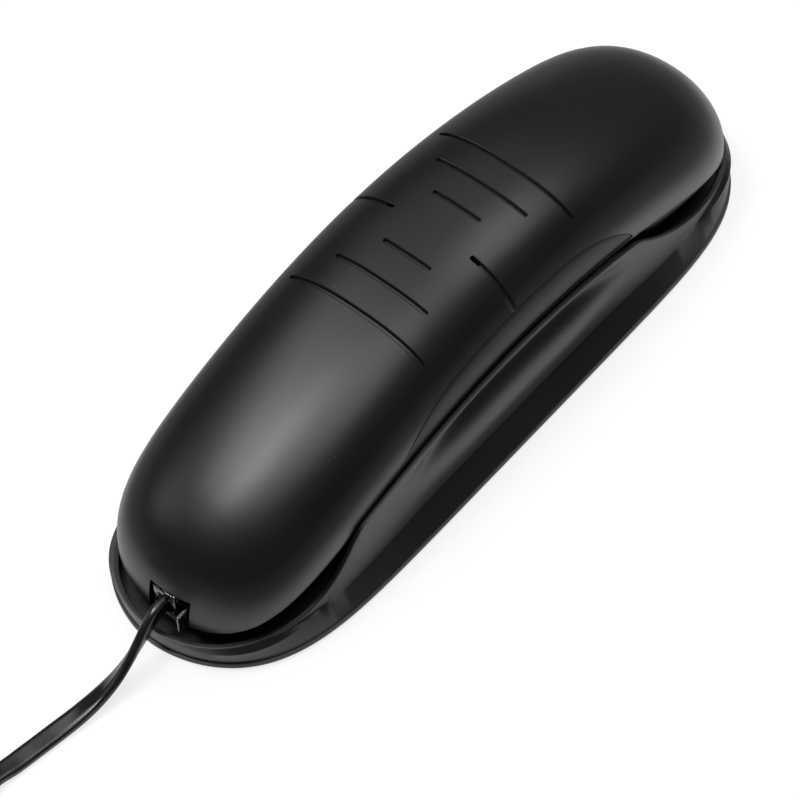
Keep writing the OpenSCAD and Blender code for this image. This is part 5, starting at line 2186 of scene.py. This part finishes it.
@dataclass
class CradleBase:
    """The low base with its two wells, its rim and its scooped sides.

    Rim rings are pairs of distance out from its inner edge and share of its rounding. An end hull
    is the side and half length of the ring that closes a surface.
    """

    stations: int = 128
    flank_steps: int = 30
    flank_end: float = 0.95
    seat_steps: int = 10
    outline_powers: Pair = (6.8, 1.8)
    wall: float = 2.2
    plate_opening: Pair = (23.6, 95)
    cavity_end: Pair = (17.5, 86)
    floor_end: Pair = (18.9, 88)
    floor_below: Pair = (0.9, 3.4)
    rim_width: float = 1.1
    rim_rings: Profile = ((1.1, 1), (1.05, 0.5), (0.94, 0.14), (0.8, 0), (0.16, 0), (0.02, 0.4))
    pad_y: float = 30.0
    pad_profile: Profile = ((3.2, 25.0), (3.2, 28.4), (3.0, 28.6))
    feet_spacing: Pair = (40.0, 138.0)
    foot_profile: Profile = ((3.9, 0.0), (4.3, 0.06), (4.5, 0.22), (4.5, 0.6))
    sharp: float = 32
    screws: tuple[ScrewSet, ...] = (
        ScrewSet("screws_of_base", "base_screws", "base", (28.0, 72.0), 2, 0.7, 1.4),
        ScrewSet("screws_of_handset", "handset_screws", "handset", (0.0, 96.0), 1, 1.8, 25.2),
    )

    def flank(self, stack: RingStack, share: float) -> None:
        """Adds a ring of the flank.

        Args:
            stack: The stack that it goes on.
            share: Its share of the way from the ridge to the rim.
        """
        ridge_half, rim_half = LINES.base_half + LINES.ridge_out, LINES.rim_half + self.rim_width
        half = mix(ridge_half, rim_half, share)

        def width(y: float) -> float:
            """Half width of the flank."""
            rim = LINES.rim_x(y / half * rim_half, self.rim_width)
            return mix(LINES.ridge_x(y / half * ridge_half), rim, share) + LINES.scoop(y, share)

        stack.add(half, width, lambda y: mix(LINES.ridge_height, LINES.rim(y) - LINES.step_down(y), share))

    def rim(self, stack: RingStack, out: float, drop: float) -> None:
        """Adds a ring of the rim.

        Args:
            stack: The stack that it goes on.
            out: Distance out from the rim's inner edge.
            drop: Share of the rim's rounding that it lies down.
        """
        stack.add(
            LINES.rim_half + out,
            lambda y: LINES.rim_x(y, out),
            lambda y: LINES.rim(y) - drop * min(LINES.rim_shoulder, LINES.step_down(y) / 2),
        )

    def level(self, stack: RingStack, size: Pair, height: float) -> None:
        """Adds a level ring of the base's outline, of a half width and half length."""
        side, half = size
        stack.add(half, lambda y: oval(side, half, *self.outline_powers, y), lambda y: height)

    def close(self, stack: RingStack, size: Pair, line: Line) -> None:
        """Adds the ring inside which a surface is closed, of a half width and half length."""
        side, half = size
        stack.add(half, lambda y: oval(side, half, *LINES.rim_powers, y), line)

    def floor(self, y: float) -> float:
        """Height of the wells' floor."""
        return LINES.face(y) - mix(*self.floor_below, LINES.on_saddle(y))

    def cavity(self, y: float) -> float:
        """Height of the hollow under the saddle."""
        return max(LINES.plate_top, self.floor(y) - self.wall)

    def seat(self, stack: RingStack, share: float) -> None:
        """Adds a ring of the seat.

        Args:
            stack: The stack that it goes on.
            share: Its share of the way in from the handset's seam.
        """
        inset = LINES.face_inset * share
        depth = LINES.face_depth(share)

        def width(y: float) -> float:
            """Half width of the seat."""
            in_wells = LINES.rim_x(y, 0) * (1 - inset / LINES.rim_side)
            return mix(in_wells, LINES.rim_side - inset, LINES.on_saddle(y))

        def height(y: float) -> float:
            """Height of the seat."""
            under = mix(LINES.seam(y) - LINES.seam_strip, LINES.face(y), depth) - LINES.seat_gap
            return mix(LINES.face(y) - self.floor_below[0], under, LINES.on_saddle(y))

        stack.add(LINES.rim_half - inset, width, height)

    def skirt(self) -> list[Pair]:
        """Draws the base's foot and lip.

        Returns:
            Pairs of inset from the outline and height, from the plate's seat round to the ridge.
        """
        bottom, lip = LINES.base_bottom, LINES.lip_height
        foot = [(self.wall, LINES.plate_top), (self.wall, bottom), (0.25, bottom), (0, bottom + 0.25)]
        return foot + [(0, lip - 0.2), (0.06, lip - 0.06), (0.2, lip), (0.5, lip), (0.5, lip + 0.35)]

    def build_shell(self) -> Piece:
        """Makes the top shell in one closed skin.

        Returns:
            The shell, from the hollow round the lip and into the wells.
        """
        stack = RingStack(stations=self.stations)
        self.close(stack, self.cavity_end, self.cavity)
        self.level(stack, self.plate_opening, LINES.plate_top)
        for inset, height in self.skirt():
            self.level(stack, (LINES.base_side - inset, LINES.base_half - inset), height)
        for k in range(self.flank_steps + 1):
            self.flank(stack, self.flank_end * k / self.flank_steps)
        for out, drop in self.rim_rings:
            self.rim(stack, out, drop)
        for k in range(self.seat_steps + 1):
            self.seat(stack, k / self.seat_steps)
        self.close(stack, self.floor_end, self.floor)
        return stack.build("cradle_shell", self.cavity, self.floor, sharp=self.sharp)

    def build_feet(self, corners: Pattern, paint: PaintShop) -> None:
        """Makes the four rubber feet.

        Args:
            corners: The corner pattern.
            paint: Source of the finish.
        """
        foot = lathe("one_foot", self.foot_profile)
        feet = at_corners(corners, "feet_of_rubber", foot, self.feet_spacing, 2, paint.of(RUBBER))
        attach(feet, "base")
        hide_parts("rubber_feet")
        LOG.info("%s: %d faces", feet.name, len(feet.data.polygons))

    def build(self, corners: Pattern, paint: PaintShop) -> None:
        """Makes the base's pieces, and the screws of both base and handset.

        Args:
            corners: The corner pattern.
            paint: Source of the finishes.
        """
        shell = self.build_shell()
        pad = lathe("plunger_pad", self.pad_profile)
        pad.data.transform(Matrix.Translation((0, self.pad_y * MM, 0)))
        shell = join_meshes("cradle_shell", [shell, pad])
        shell.data.set_sharp_from_angle(angle=math.radians(self.sharp))
        paint.dress(shell, TEXTURED_BASE)
        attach(shell, "base")
        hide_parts("base_top_shell")
        LOG.info("%s: %d faces", shell.name, len(shell.data.polygons))
        self.build_feet(corners, paint)
        for screws in self.screws:
            screws.build(corners, paint)


# ---------------------------------------------------------------------------
# Pieces that keep their solids
# ---------------------------------------------------------------------------


@dataclass
class InnerWorks:
    """The pieces whose solids are shown as they are, each with its own finish."""

    finishes: dict[str, Finish] = field(
        default_factory=lambda: {
            "keypad_membrane": SILICONE,
            "main_board": SOLDER_MASK,
            "earpiece_speaker": STEEL,
            "earpiece_gasket": FOAM,
            "microphone": STEEL,
            "microphone_boot": RUBBER,
            "ringer_sounder": BLACK_PART,
            "hook_plunger": KEY_GREY,
            "hook_spring": SPRING_STEEL,
            "hook_switch": BLACK_PART,
            "line_jack": BLACK_PART,
            "handset_weight": STEEL,
            "ringer_switch": KEY_GREY,
            "dial_mode_switch": KEY_GREY,
            "base_bottom_plate": TEXTURED_BASE,
            "base_ballast": STEEL,
        }
    )

    def build(self, nodes: dict[str, Piece], paint: PaintShop) -> None:
        """Dresses the frame's own pieces.

        Args:
            nodes: The frame's pieces by name.
            paint: Source of the finishes.
        """
        for name, finish in self.finishes.items():
            paint.dress_node(nodes[name], finish)
            LOG.info("%s: %s", name, finish.name)


def main() -> None:
    """Loads the frame, makes the camera and cord first, then every piece and the studio."""
    logging.basicConfig(level=logging.INFO, format="%(name)s %(message)s")
    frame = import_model()
    paint = PaintShop()
    PortraitCamera().build()
    ModularPlug("wall_plug", (2.1, -185.8, 10.05), True, "base", "wall_plug_latch").build(paint)
    LineCord().build(paint)
    ModularPlug("line_plug", (1.25, -95.5, 14.1), False, "handset", "line_plug_latch").build(paint)
    HandsetShells().build(perforation_pattern([(6, 1.0, 0.0), (8, 2.0, math.pi / 8)]), paint)
    for side in Side:
        SideGrip(side).build(paint)
    for key in all_keys():
        key.build(paint)
    CradleBase().build(corner_pattern(), paint)
    InnerWorks().build(frame["nodes"], paint)
    Studio().build()


if __name__ == "__main__":
    main()
